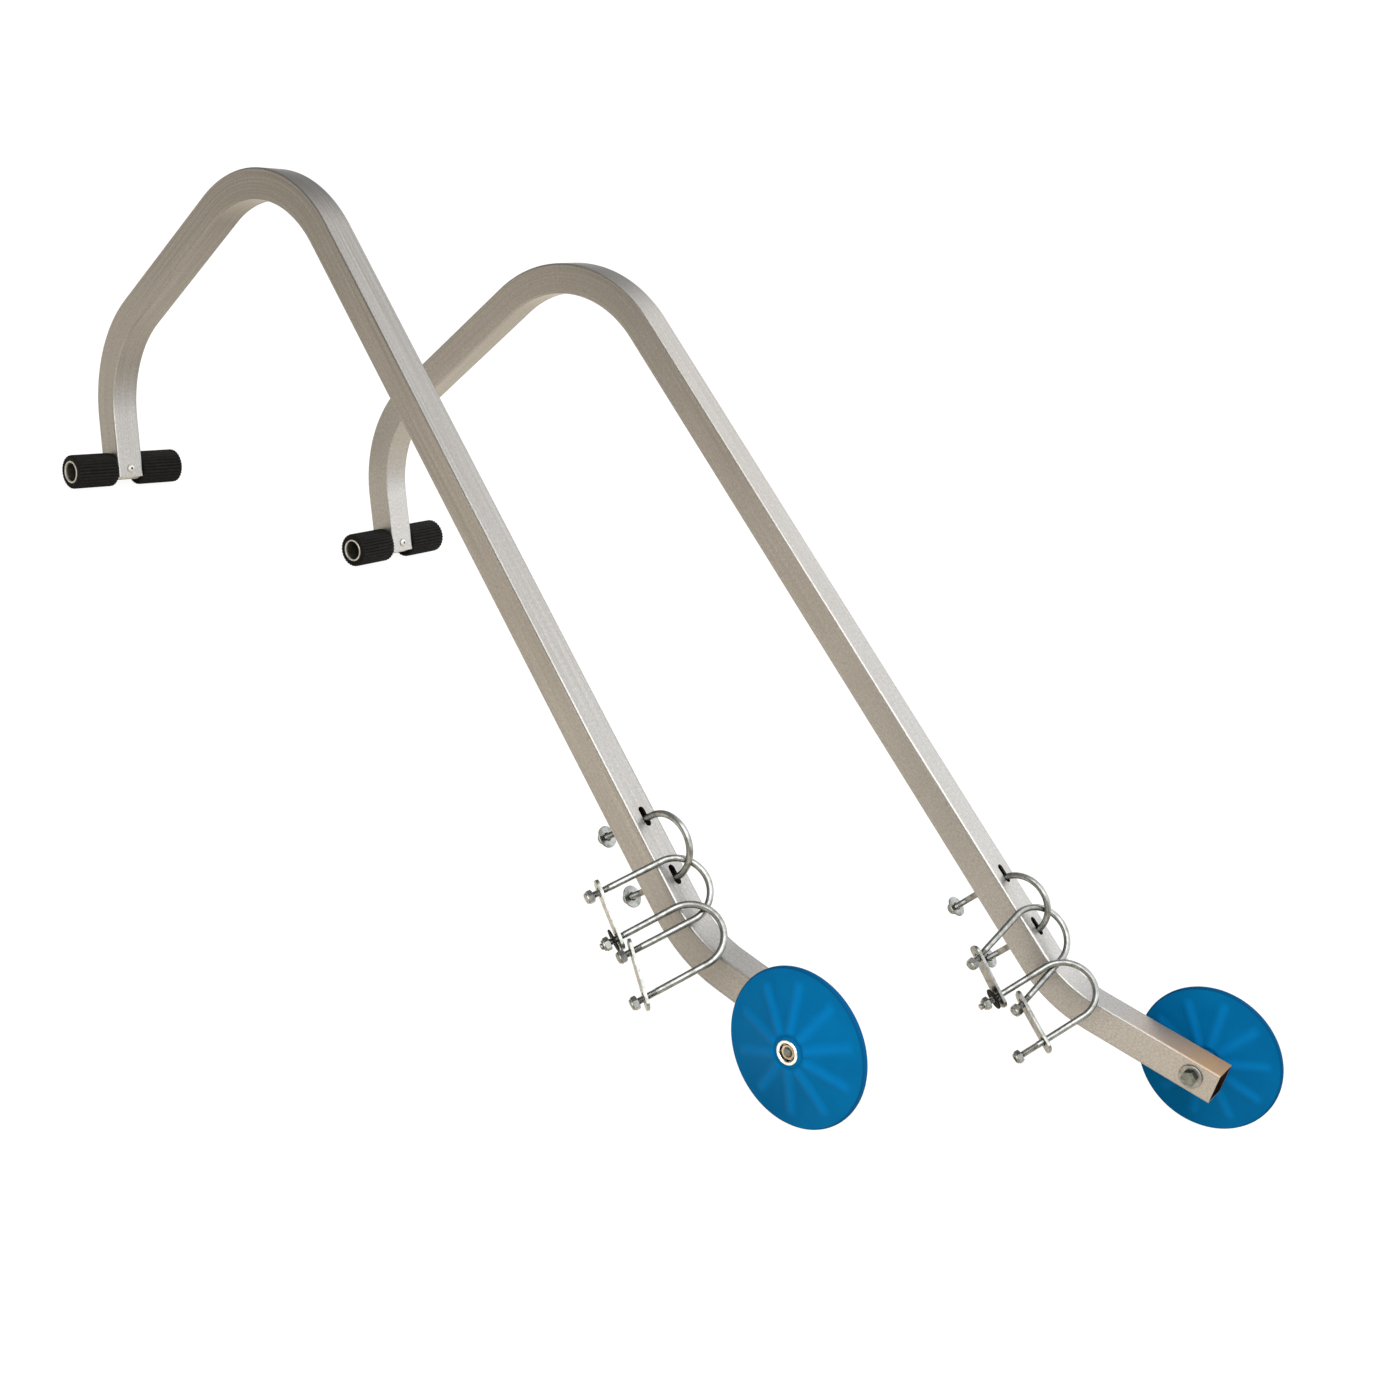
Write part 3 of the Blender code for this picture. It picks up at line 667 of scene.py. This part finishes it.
def hook_tube(prefix, stand):
    """Bent square tube with its notch, holes and slots. Its V runs along the outside, then the bore."""
    name = f"{prefix}_bent_tube"
    outer = square_section(TUBE, TUBE_CORNER, 5)
    inner = square_section(TUBE - 2 * TUBE_WALL, BORE_CORNER, 5)
    rings = section_rings(outer) + section_rings(inner)[::-1]
    around = running_lengths(outer + outer[:1])
    path = running_lengths([point for point, angle in STATIONS])
    bore_start = path[-1] + TUBE_WALL
    along = path + [bore_start + path[-1] - v for v in path[::-1]] + [2 * bore_start]
    mesh = loft(name, rings, bored=True, around=around, along=along)
    notch = drill(f"{name}_notch", CROSS_TUBE_RADIUS + GAP, -TUBE, TUBE, 64)
    hole = drill(f"{name}_hole", AXLE_RADIUS + GAP, -TUBE, TUBE, 24)
    screw_hole = drill(f"{name}_screw_hole", FOOT_SCREW_HEAD_RADIUS / 2, -2 * TUBE_WALL, TUBE_WALL, 24)
    cutters = [(notch, ALONG_Y), (hole, Matrix.Translation(AXLE) @ ALONG_Y), (screw_hole, screw_frame())]
    for i, middle in enumerate(SLOT_MIDDLES):
        cutters.append((slot_cutter(f"{name}_slot_{i}"), ARM_FRAME @ Matrix.Translation((middle, 0, 0))))
    mesh = subtract(name, mesh, cutters)
    add_piece(name, mesh, f"{prefix}_aluminium", stand, f"{prefix}_hook", f"{prefix}_hook_tube")


def cross_tube(prefix, stand):
    """Round tube across the foot, with painted shade inside past its first millimetres."""
    name = f"{prefix}_foot_tube"
    half = CROSS_TUBE_LENGTH / 2
    bore = CROSS_TUBE_RADIUS - CROSS_TUBE_WALL
    edge = 0.4 * MM
    shade_depth = 3.0 * MM
    profile = [
        (CROSS_TUBE_RADIUS, edge - half), (CROSS_TUBE_RADIUS, half - edge),
        (CROSS_TUBE_RADIUS - edge, half), (bore + edge, half), (bore, half - edge),
        (bore, half - shade_depth), (bore, shade_depth - half), (bore, edge - half), (bore + edge, -half),
        (CROSS_TUBE_RADIUS - edge, -half),
    ]
    depths = [1.0 if abs(h) == half - shade_depth else 0.0 for r, h in profile]
    mesh = turned(name, profile, 64, bored=True, along=depths + [0.0])
    add_piece(name, mesh, "bored_zinc", stand @ ALONG_Y, f"{prefix}_hook", f"{prefix}_cross_tube")


def ribbed_circle(radius, height, depth):
    """A circle with rounded ribs; the ribs' crests are at the radius."""
    sides = RIB_COUNT * 6
    points = []
    for j in range(sides):
        turn = 2 * math.pi * j / sides
        valley = 0.5 - 0.5 * math.cos(RIB_COUNT * turn)
        r = radius - depth * valley ** 1.5
        points.append(Vector((r * math.cos(turn), r * math.sin(turn), height)))
    return points


def sleeve(prefix, label, side, stand):
    """Ribbed sleeve from the leg's side to the cross tube's end, rounded at both ends."""
    name = f"{prefix}_{label}_ribbed_sleeve"
    start = TUBE / 2 + GAP
    end = CROSS_TUBE_LENGTH / 2
    bore = CROSS_TUBE_RADIUS + GAP / 2
    rings = [ribbed_circle(bore, start, 0.0)]
    lift = SLEEVE_RADIUS - SLEEVE_ROUNDING
    edge = 0.6 * MM
    profile = arc((lift, start + SLEEVE_ROUNDING), SLEEVE_ROUNDING, -90, 0, 6)
    profile += arc((lift, end - SLEEVE_ROUNDING), SLEEVE_ROUNDING, 0, 90, 6)
    for r, h in profile:
        rings.append(ribbed_circle(r, h, RIB_DEPTH * min(1.0, (r - lift) / SLEEVE_ROUNDING)))
    rings.append(ribbed_circle(bore + edge, end, 0.0))
    rings.append(ribbed_circle(bore, end - edge, 0.0))
    mesh = loft(name, rings, bored=True, smooth_angle=60.0)
    place = ALONG_Y if side > 0 else Matrix.Rotation(math.radians(90), 4, "X")
    add_piece(name, mesh, "rubber", stand @ place, f"{prefix}_hook", f"{prefix}_{label}_sleeve")


def foot_screw(prefix, stand):
    """Domed screw with a deep socket."""
    name = f"{prefix}_domed_screw"
    shank = FOOT_SCREW_HEAD_RADIUS / 2 - GAP
    tip = -(TUBE / 2 - CROSS_TUBE_RADIUS + 2 * CROSS_TUBE_WALL)
    profile = [(shank / 2, tip), (shank, tip + shank), (shank, GAP), (FOOT_SCREW_HEAD_RADIUS, GAP)]
    rise = FOOT_SCREW_HEAD - GAP
    for x, y in arc((0, 0), 1.0, 15, 70, 6):
        profile.append((FOOT_SCREW_HEAD_RADIUS * x, GAP + rise * y))
    # The socket gets painted shade
    depths = [0.0] * len(profile) + [1.0, 1.0]
    profile += [(FOOT_SCREW_SOCKET, GAP + rise / 2), (FOOT_SCREW_SOCKET / 10, GAP)]
    mesh = turned(name, profile, 32, along=depths)
    add_piece(name, mesh, "bored_zinc", stand @ screw_frame(), f"{prefix}_hook", f"{prefix}_foot_screw")


# ---------------------------------------------------------------- wheel and axle


def smoothstep(low, high, value):
    """0 below low, 1 above high, and smooth between them."""
    t = min(1.0, max(0.0, (value - low) / (high - low)))
    return t * t * (3 - 2 * t)


def wheel_half_thickness(radius):
    """Half the wheel's thickness without its spokes: hub, dished web, rim."""
    left_to_run = 1 - min(1.0, max(0.0, (radius - HUB_FOOT) / (WEB_END - HUB_FOOT)))
    web = RIM_HALF + (WEB_HALF_AT_HUB - RIM_HALF) * left_to_run ** WEB_CURVE
    hub = HUB_HALF * (1 - smoothstep(HUB_EDGE, HUB_FOOT, radius))
    return max(hub, web)


def spoke_relief(radius, turn, phase):
    """0 on the web, up to 1 on a spoke's crest."""
    pitch = 2 * math.pi / SPOKE_COUNT
    off = (turn - phase + pitch / 2) % pitch - pitch / 2
    across = abs(radius * math.sin(off)) / SPOKE_HALF_WIDTH
    ends = smoothstep(SPOKE_START, SPOKE_START + SPOKE_FADE / 2, radius)
    ends *= 1 - smoothstep(SPOKE_END - SPOKE_FADE, SPOKE_END, radius)
    return ends * (1 - smoothstep(0.0, 1.0, across))


def wheel_mesh(name, phase):
    """Wheel around Z. Its points carry how far they rise on a spoke and how much painted shade they take
    near the rim's edge.
    """
    sides = 360
    step = 0.75 * MM
    shoulder = WHEEL_RADIUS - RIM_ROUNDING
    bore = BUSHING_RADIUS + CLOSE_GAP
    count = round((shoulder - bore) / step)
    radii = [bore + (shoulder - bore) * i / count for i in range(count + 1)]
    rings, relief, rim_shade = [], [], []
    for side in (1, -1):
        for r in radii[::side]:
            ring = []
            for j in range(sides):
                turn = 2 * math.pi * j / sides
                lift = spoke_relief(r, turn, phase)
                height = side * (wheel_half_thickness(r) + SPOKE_HEIGHT * lift)
                ring.append(Vector((r * math.cos(turn), r * math.sin(turn), height)))
                relief.append(lift)
                rim_shade.append(smoothstep(shoulder - step, shoulder, r) * 0.5)
            rings.append(ring)
        if side > 0:
            for x, y in arc((0, 0), 1.0, 80, -80, 8):
                rings.append(circle(shoulder + RIM_ROUNDING * x, RIM_HALF * y, sides))
                relief += [0.0] * sides
                rim_shade += [1.0] * sides
    mesh = loft(name, rings, bored=True, smooth_angle=50.0)
    for label, values in (("relief", relief), ("rim_shade", rim_shade)):
        mesh.attributes.new(label, "FLOAT", "POINT").data.foreach_set("value", values)
    return mesh


def hexagon(across_flats, height, sides):
    """A hexagonal ring of points around Z, with as many points as the circles beside it."""
    points = []
    for j in range(sides):
        turn = 2 * math.pi * j / sides
        off_flat = (turn + math.pi / 6) % (math.pi / 3) - math.pi / 6
        r = across_flats / 2 / math.cos(off_flat)
        points.append(Vector((r * math.cos(turn), r * math.sin(turn), height)))
    return points


def chamfered_hexagon(across_flats, top, rise, sides):
    """The hexagon's outline where a flat cone cuts it, near an end at height top."""
    chamfer_radius = across_flats / 2 * HEX_CHAMFER_START
    points = []
    for p in hexagon(across_flats, top, sides):
        drop = (math.hypot(p.x, p.y) - chamfer_radius) * math.tan(math.radians(HEX_CHAMFER_ANGLE))
        points.append(Vector((p.x, p.y, top - rise * drop)))
    return points


def hex_rings(across_flats, low, high, sides, chamfer_low=True, chamfer_high=True):
    """Rings from the low face's chamfer circle to the high face's chamfer circle."""
    chamfer_radius = across_flats / 2 * HEX_CHAMFER_START
    rings = []
    if chamfer_low:
        rings += [circle(chamfer_radius, low, sides), chamfered_hexagon(across_flats, low, -1, sides)]
    else:
        rings.append(hexagon(across_flats, low, sides))
    if chamfer_high:
        rings += [chamfered_hexagon(across_flats, high, 1, sides), circle(chamfer_radius, high, sides)]
    else:
        rings.append(hexagon(across_flats, high, sides))
    return rings


def bore_rings(bore, half, sides):
    """Rings down through a nut's bore, which opens out at both ends."""
    return [
        circle(bore + NUT_LEAD_IN, half, sides), circle(bore, half - NUT_LEAD_IN, sides),
        circle(bore, NUT_LEAD_IN - half, sides), circle(bore + NUT_LEAD_IN, -half, sides),
    ]


def nut_mesh(name, across, height, bore):
    """Hex nut with both ends chamfered, centred on its height."""
    sides = 72
    half = height / 2
    rings = hex_rings(across, -half, half, sides) + bore_rings(bore, half, sides)
    return loft(name, rings, bored=True, smooth_angle=24.0)


def thread_rings(radius, start, end, sides=20):
    """Rings of a right-hand thread around Z, from start up to end."""
    step = THREAD_PITCH / 8
    count = round((end - start) / step)
    rings = []
    for i in range(count + 1):
        height = start + (end - start) * i / count
        fade = min(1.0, i * step / THREAD_PITCH, (count - i) * step / THREAD_PITCH)
        ring = []
        for j in range(sides):
            turn = 2 * math.pi * j / sides
            cycle = (height / THREAD_PITCH - turn / (2 * math.pi)) % 1.0
            depth = THREAD_DEPTH * fade * abs(2 * cycle - 1) ** 1.2
            r = radius - depth
            ring.append(Vector((r * math.cos(turn), r * math.sin(turn), height)))
        rings.append(ring)
    return rings


def wheel_set(prefix, stand):
    """Wheel, bushing, nut, washer and bolt, around an axle that points out to the wheel."""
    side = WHEEL_SIDE[prefix]
    axle = stand @ Matrix.Translation(AXLE) @ Matrix.Rotation(math.radians(-90.0 * side), 4, "X")
    face = TUBE / 2
    middle = face + WHEEL_MIDDLE
    hook = f"{prefix}_hook"

    name = f"{prefix}_spoked_wheel"
    mesh = wheel_mesh(name, math.radians(SPOKE_PHASE))
    place = axle @ Matrix.Translation((0, 0, middle))
    add_piece(name, mesh, "plastic", place, f"{prefix}_wheel_body", f"{prefix}_wheel")

    name = f"{prefix}_hub_bushing"
    bore = AXLE_RADIUS + GAP
    top = middle + HUB_HALF + GAP
    floor_of_recess = top - BUSHING_RECESS
    edge = 0.5 * MM
    profile = [
        (bore, face + GAP), (BUSHING_RADIUS, face + GAP), (BUSHING_RADIUS, top - edge),
        (BUSHING_RADIUS - edge, top), (BUSHING_RECESS_RADIUS + edge, top),
        (BUSHING_RECESS_RADIUS, top - edge), (BUSHING_RECESS_RADIUS, floor_of_recess),
        (bore, floor_of_recess),
    ]
    mesh = turned(name, profile, 64, bored=True)
    add_piece(name, mesh, "bushing", axle, hook, f"{prefix}_wheel_bushing")

    name = f"{prefix}_lock_nut"
    mesh = nut_mesh(name, AXLE_HEAD_ACROSS, AXLE_NUT, AXLE_RADIUS + CLOSE_GAP)
    place = axle @ Matrix.Translation((0, 0, floor_of_recess + GAP + AXLE_NUT / 2))
    add_piece(name, mesh, "tan_zinc", place, hook, f"{prefix}_axle_nut")

    name = f"{prefix}_flat_washer"
    mesh = washer_mesh(name, AXLE_WASHER_RADIUS, bore, AXLE_WASHER)
    place = axle @ Matrix.Translation((0, 0, -face - GAP - AXLE_WASHER / 2))
    add_piece(name, mesh, "zinc", place, hook, f"{prefix}_axle_washer")

    name = f"{prefix}_hex_bolt"
    head_top = -face - 2 * GAP - AXLE_WASHER
    sides = 72
    rings = hex_rings(AXLE_HEAD_ACROSS, head_top - AXLE_HEAD, head_top, sides, chamfer_high=False)
    rings += [circle(AXLE_RADIUS, head_top, sides), circle(AXLE_RADIUS, floor_of_recess, sides)]
    rings += thread_rings(AXLE_RADIUS, floor_of_recess, top - GAP - 0.6 * MM, sides)[1:]
    rings.append(circle(AXLE_RADIUS - 0.9 * MM, top - GAP, sides))
    add_piece(name, loft(name, rings, smooth_angle=24.0), "aged_zinc", axle, hook, f"{prefix}_axle_bolt")


# ---------------------------------------------------------------- clamps


def u_bolt_mesh(name, leg):
    """Round wire with a bow up and threaded legs down, origin at the bow's centre."""
    sides = 20
    leg_rings = thread_rings(WIRE_RADIUS, -leg + THREAD_TIP, -leg + THREAD_LENGTH, sides)
    leg_rings.insert(0, circle(WIRE_RADIUS - THREAD_DEPTH - THREAD_TIP_CHAMFER, -leg, sides))
    leg_rings.append(circle(WIRE_RADIUS, -0.5 * leg, sides))
    left = [[p + Vector((-U_BOLT_HALF_WIDTH, 0, 0)) for p in ring] for ring in leg_rings]
    bow = []
    steps = 40
    for i in range(steps + 1):
        turn = Matrix.Rotation(math.pi * i / steps, 4, "Y")
        ring = [p + Vector((-U_BOLT_HALF_WIDTH, 0, 0)) for p in circle(WIRE_RADIUS, 0.0, sides)]
        bow.append([turn @ p for p in ring])
    right = []
    for ring in leg_rings[::-1]:
        mirrored = [Vector((-p.x, p.y, p.z)) for p in ring]
        right.append([p + Vector((U_BOLT_HALF_WIDTH, 0, 0)) for p in mirrored])
    return loft(name, left + bow + right, smooth_angle=24.0)


def pose(at, turn):
    """Matrix from a place in mm and a turn in degrees."""
    angles = Euler([math.radians(angle) for angle in turn])
    return Matrix.LocRotScale(Vector(at) * MM, angles, None)


def lock_nut_mesh(name):
    """Hex nut centred on its height, with a round collar around its insert at the lower end."""
    sides = 72
    half = NUT_HEIGHT / 2
    shoulder = NUT_COLLAR - half
    collar_radius = NUT_ACROSS / 2 * 0.93
    rounding = 0.9 * MM
    rings = []
    for x, y in arc((collar_radius - rounding, rounding - half), rounding, -90, 0, 5):
        rings.append(circle(x, y, sides))
    rings.append(circle(collar_radius, shoulder - 0.2 * MM, sides))
    rings += hex_rings(NUT_ACROSS, shoulder, half, sides)
    rings += bore_rings(NUT_BORE_RADIUS, half, sides)
    return loft(name, rings, bored=True, smooth_angle=24.0)


def washer_mesh(name, radius, bore, thickness):
    """Flat washer with softened rims, centred on its thickness."""
    edge = 0.25 * MM
    half = thickness / 2
    profile = [
        (bore, edge - half), (bore + edge, -half), (radius - edge, -half), (radius, edge - half),
        (radius, half - edge), (radius - edge, half), (bore + edge, half), (bore, half - edge),
    ]
    return turned(name, profile, 64, bored=True)


def strap_mesh(name, hole_spacing):
    """Flat bar with rounded ends and edges and two holes."""
    x = STRAP_LENGTH / 2 - STRAP_END_RADIUS
    y = STRAP_WIDTH / 2 - STRAP_END_RADIUS
    outline = []
    for start, sx, sy in ((0, 1, 1), (90, -1, 1), (180, -1, -1), (270, 1, -1)):
        outline += arc((sx * x, sy * y), STRAP_END_RADIUS, start, start + 90, 8)
    half = STRAP_THICKNESS / 2
    edge = 0.35 * MM
    rings = []
    for height, inset in ((-half, edge), (edge - half, 0.0), (half - edge, 0.0), (half, edge)):
        ring = []
        for a, b in outline:
            shrink = 1 - inset / math.hypot(a, b)
            ring.append(Vector((a * shrink, b * shrink, height)))
        rings.append(ring)
    mesh = loft(name, rings)
    holes = []
    for end in (-1, 1):
        hole = drill(f"{name}_hole_{end}", STRAP_HOLE_RADIUS, -half * 2, half * 2, 32)
        holes.append((hole, Matrix.Translation((end * hole_spacing / 2, 0, 0))))
    return subtract(name, mesh, holes)


def strap_frame(back, front, side, depths):
    """The strap between one leg of the back bolt and the same leg of the front bolt."""
    start = back @ Vector((side * U_BOLT_HALF_WIDTH, 0.0, -depths[0] * MM))
    end = front @ Vector((side * U_BOLT_HALF_WIDTH, 0.0, -depths[1] * MM))
    along = (end - start).normalized()
    legs = (back.col[2].xyz + front.col[2].xyz).normalized()
    normal = (legs - along * legs.dot(along)).normalized()
    turn = Matrix((along, normal.cross(along), normal)).transposed().to_4x4()
    return Matrix.Translation((start + end) / 2) @ turn, (end - start).length


def u_bolt_set(prefix, label, arm, body, washer_finish):
    """A U-bolt with a nut on each leg and its washers. Returns the U-bolt's matrix."""
    spec = CLAMPS[prefix][label]
    bolt = arm @ pose(spec["at"], spec["turn"])
    mesh = u_bolt_mesh(f"{prefix}_{label}_threaded_u_bolt", spec["leg"] * MM)
    add_piece(mesh.name, mesh, "zinc", bolt, body, f"{prefix}_{label}_u_bolt")
    for level, side, nut_depth, washer_depth in zip(LEVELS, SIDES, spec["nuts"], spec["washers"]):
        nut = f"{prefix}_{label}_{level}_nut"
        place = bolt @ Matrix.Translation((side * U_BOLT_HALF_WIDTH, 0, -nut_depth * MM))
        add_piece(f"{nut}_collared", lock_nut_mesh(nut), "zinc", place, f"{nut}_body", nut)
        if washer_depth is not None:
            washer = f"{prefix}_{label}_{level}_washer"
            place = bolt @ Matrix.Translation((side * U_BOLT_HALF_WIDTH, 0, -washer_depth * MM))
            mesh = washer_mesh(washer, CLAMP_WASHER_RADIUS, CLAMP_WASHER_BORE, CLAMP_WASHER)
            add_piece(f"{washer}_round", mesh, washer_finish, place, f"{nut}_body", washer)
    return bolt


def clamps(prefix, arm):
    """The U-bolt through the slots, and the two U-bolts that two straps join."""
    u_bolt_set(prefix, "slot", arm, f"{prefix}_slot_bolt", "zinc")
    back = u_bolt_set(prefix, "back", arm, f"{prefix}_clamp_bolts", "rubber")
    front = u_bolt_set(prefix, "front", arm, f"{prefix}_clamp_bolts", "rubber")
    for level, side in zip(LEVELS, SIDES):
        place, spacing = strap_frame(back, front, side, CLAMPS[prefix]["straps"][level])
        name = f"{prefix}_{level}_rounded_strap"
        mesh = strap_mesh(name, spacing)
        add_piece(name, mesh, "zinc", place, f"{prefix}_{level}_strap_body", f"{prefix}_{level}_strap")


def foot_centre(prefix):
    """Middle of the hook's cross tube in the frame."""
    low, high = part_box(f"{prefix}_cross_tube")
    return (low + high) / 2


def build_hook(prefix):
    """One hook, at its place and its turn about Z."""
    turn = Matrix.Rotation(math.radians(YAW[prefix]), 4, "Z")
    stand = Matrix.Translation(foot_centre(prefix)) @ turn
    hook_tube(prefix, stand)
    cross_tube(prefix, stand)
    for label, side in (("front", -1), ("back", 1)):
        sleeve(prefix, label, side, stand)
    foot_screw(prefix, stand)
    wheel_set(prefix, stand)
    clamps(prefix, stand @ ARM_FRAME)


# ---------------------------------------------------------------- stage, light and camera


def pale_floor():
    """White to the camera, with a trace of shadow. To other rays it is warm, and only as lit."""
    n = Nodes("pale_floor")
    n.shader.inputs["Base Color"].default_value = (*FLOOR_COLOUR, 1.0)
    n.shader.inputs["Roughness"].default_value = 0.9
    n.shader.inputs["Specular IOR Level"].default_value = 0.1
    glow = n.add("ShaderNodeEmission")
    glow.inputs["Strength"].default_value = FLOOR_GLOW
    shade = n.add("ShaderNodeBsdfDiffuse")
    shade.inputs["Color"].default_value = (*FLOOR_SHADE, 1.0)
    paper = n.add("ShaderNodeAddShader")
    n.link(glow.outputs["Emission"], paper.inputs[0])
    n.link(shade.outputs["BSDF"], paper.inputs[1])
    choose = n.add("ShaderNodeMixShader")
    n.link(n.add("ShaderNodeLightPath").outputs["Is Camera Ray"], choose.inputs["Fac"])
    n.link(n.shader.outputs["BSDF"], choose.inputs[1])
    n.link(paper.outputs["Shader"], choose.inputs[2])
    n.link(choose.outputs["Shader"], n.tree.nodes["Material Output"].inputs["Surface"])
    return n.material


def stage():
    """Pale floor that runs to the horizon."""
    bm = bmesh.new()
    bmesh.ops.create_circle(bm, cap_ends=True, radius=FLOOR_RADIUS, segments=96)
    mesh = bpy.data.meshes.new("pale_floor")
    bm.to_mesh(mesh)
    bm.free()
    mesh.materials.append(pale_floor())
    floor = bpy.data.objects.new("pale_floor", mesh)
    floor.location.z = -FLOOR_DROP
    bpy.context.collection.objects.link(floor)


def world():
    """Studio room: one pale grey to the camera, with light that grows towards BRIGHT_SIDE."""
    scene = bpy.context.scene
    room = bpy.data.worlds.new("white_room")
    room.use_nodes = True
    tree = room.node_tree
    lit = tree.nodes["Background"]
    direction = tree.nodes.new("ShaderNodeTexCoord")
    facing = tree.nodes.new("ShaderNodeVectorMath")
    facing.operation = "DOT_PRODUCT"
    facing.inputs[1].default_value = Vector(BRIGHT_SIDE).normalized()
    ramp = tree.nodes.new("ShaderNodeValToRGB")
    tree.links.new(direction.outputs["Generated"], facing.inputs[0])
    tree.links.new(facing.outputs["Value"], ramp.inputs["Fac"])
    tree.links.new(ramp.outputs["Color"], lit.inputs["Color"])
    for element, (position, grey) in zip(ramp.color_ramp.elements, ROOM_LIGHT):
        element.position = position
        element.color = (grey, grey, grey, 1.0)
    lit.inputs["Strength"].default_value = ROOM_STRENGTH
    plain = tree.nodes.new("ShaderNodeBackground")
    plain.inputs["Strength"].default_value = BACKDROP_GLOW
    rays = tree.nodes.new("ShaderNodeLightPath")
    choose = tree.nodes.new("ShaderNodeMixShader")
    tree.links.new(rays.outputs["Is Camera Ray"], choose.inputs["Fac"])
    tree.links.new(lit.outputs["Background"], choose.inputs[1])
    tree.links.new(plain.outputs["Background"], choose.inputs[2])
    tree.links.new(choose.outputs["Shader"], tree.nodes["World Output"].inputs["Surface"])
    scene.world = room
    scene.view_settings.view_transform = "Standard"
    scene.view_settings.look = "None"


def area_light(name, at, target, size, power, colour):
    """Round area light that faces its target and that the camera doesn't see."""
    data = bpy.data.lights.new(name, "AREA")
    data.shape = "DISK"
    data.size = size
    data.energy = power
    data.color = colour
    light = bpy.data.objects.new(name, data)
    light.location = at
    aim = (Vector(target) - Vector(at)).to_track_quat("-Z", "Y")
    light.rotation_euler = aim.to_euler()
    light.visible_camera = False
    bpy.context.collection.objects.link(light)


def camera():
    """Camera at the reference viewing angle."""
    data = bpy.data.cameras.new("camera")
    data.lens = CAMERA_LENS
    data.sensor_width = CAMERA_SENSOR
    data.clip_end = CAMERA_REACH
    view = bpy.data.objects.new("camera", data)
    back = CAMERA_RIGHT.cross(CAMERA_UP)
    turn = Matrix((CAMERA_RIGHT, CAMERA_UP, back)).transposed().to_4x4()
    foot = foot_centre("left")
    view.matrix_world = Matrix.Translation(Vector((foot.x, foot.y, 0.0)) + CAMERA_AT) @ turn
    bpy.context.collection.objects.link(view)
    bpy.context.scene.camera = view


for hook in ("left", "right"):
    build_hook(hook)
stage()
world()
for light, settings in LIGHTS.items():
    area_light(light, **settings)
camera()

bpy.context.view_layer.update()
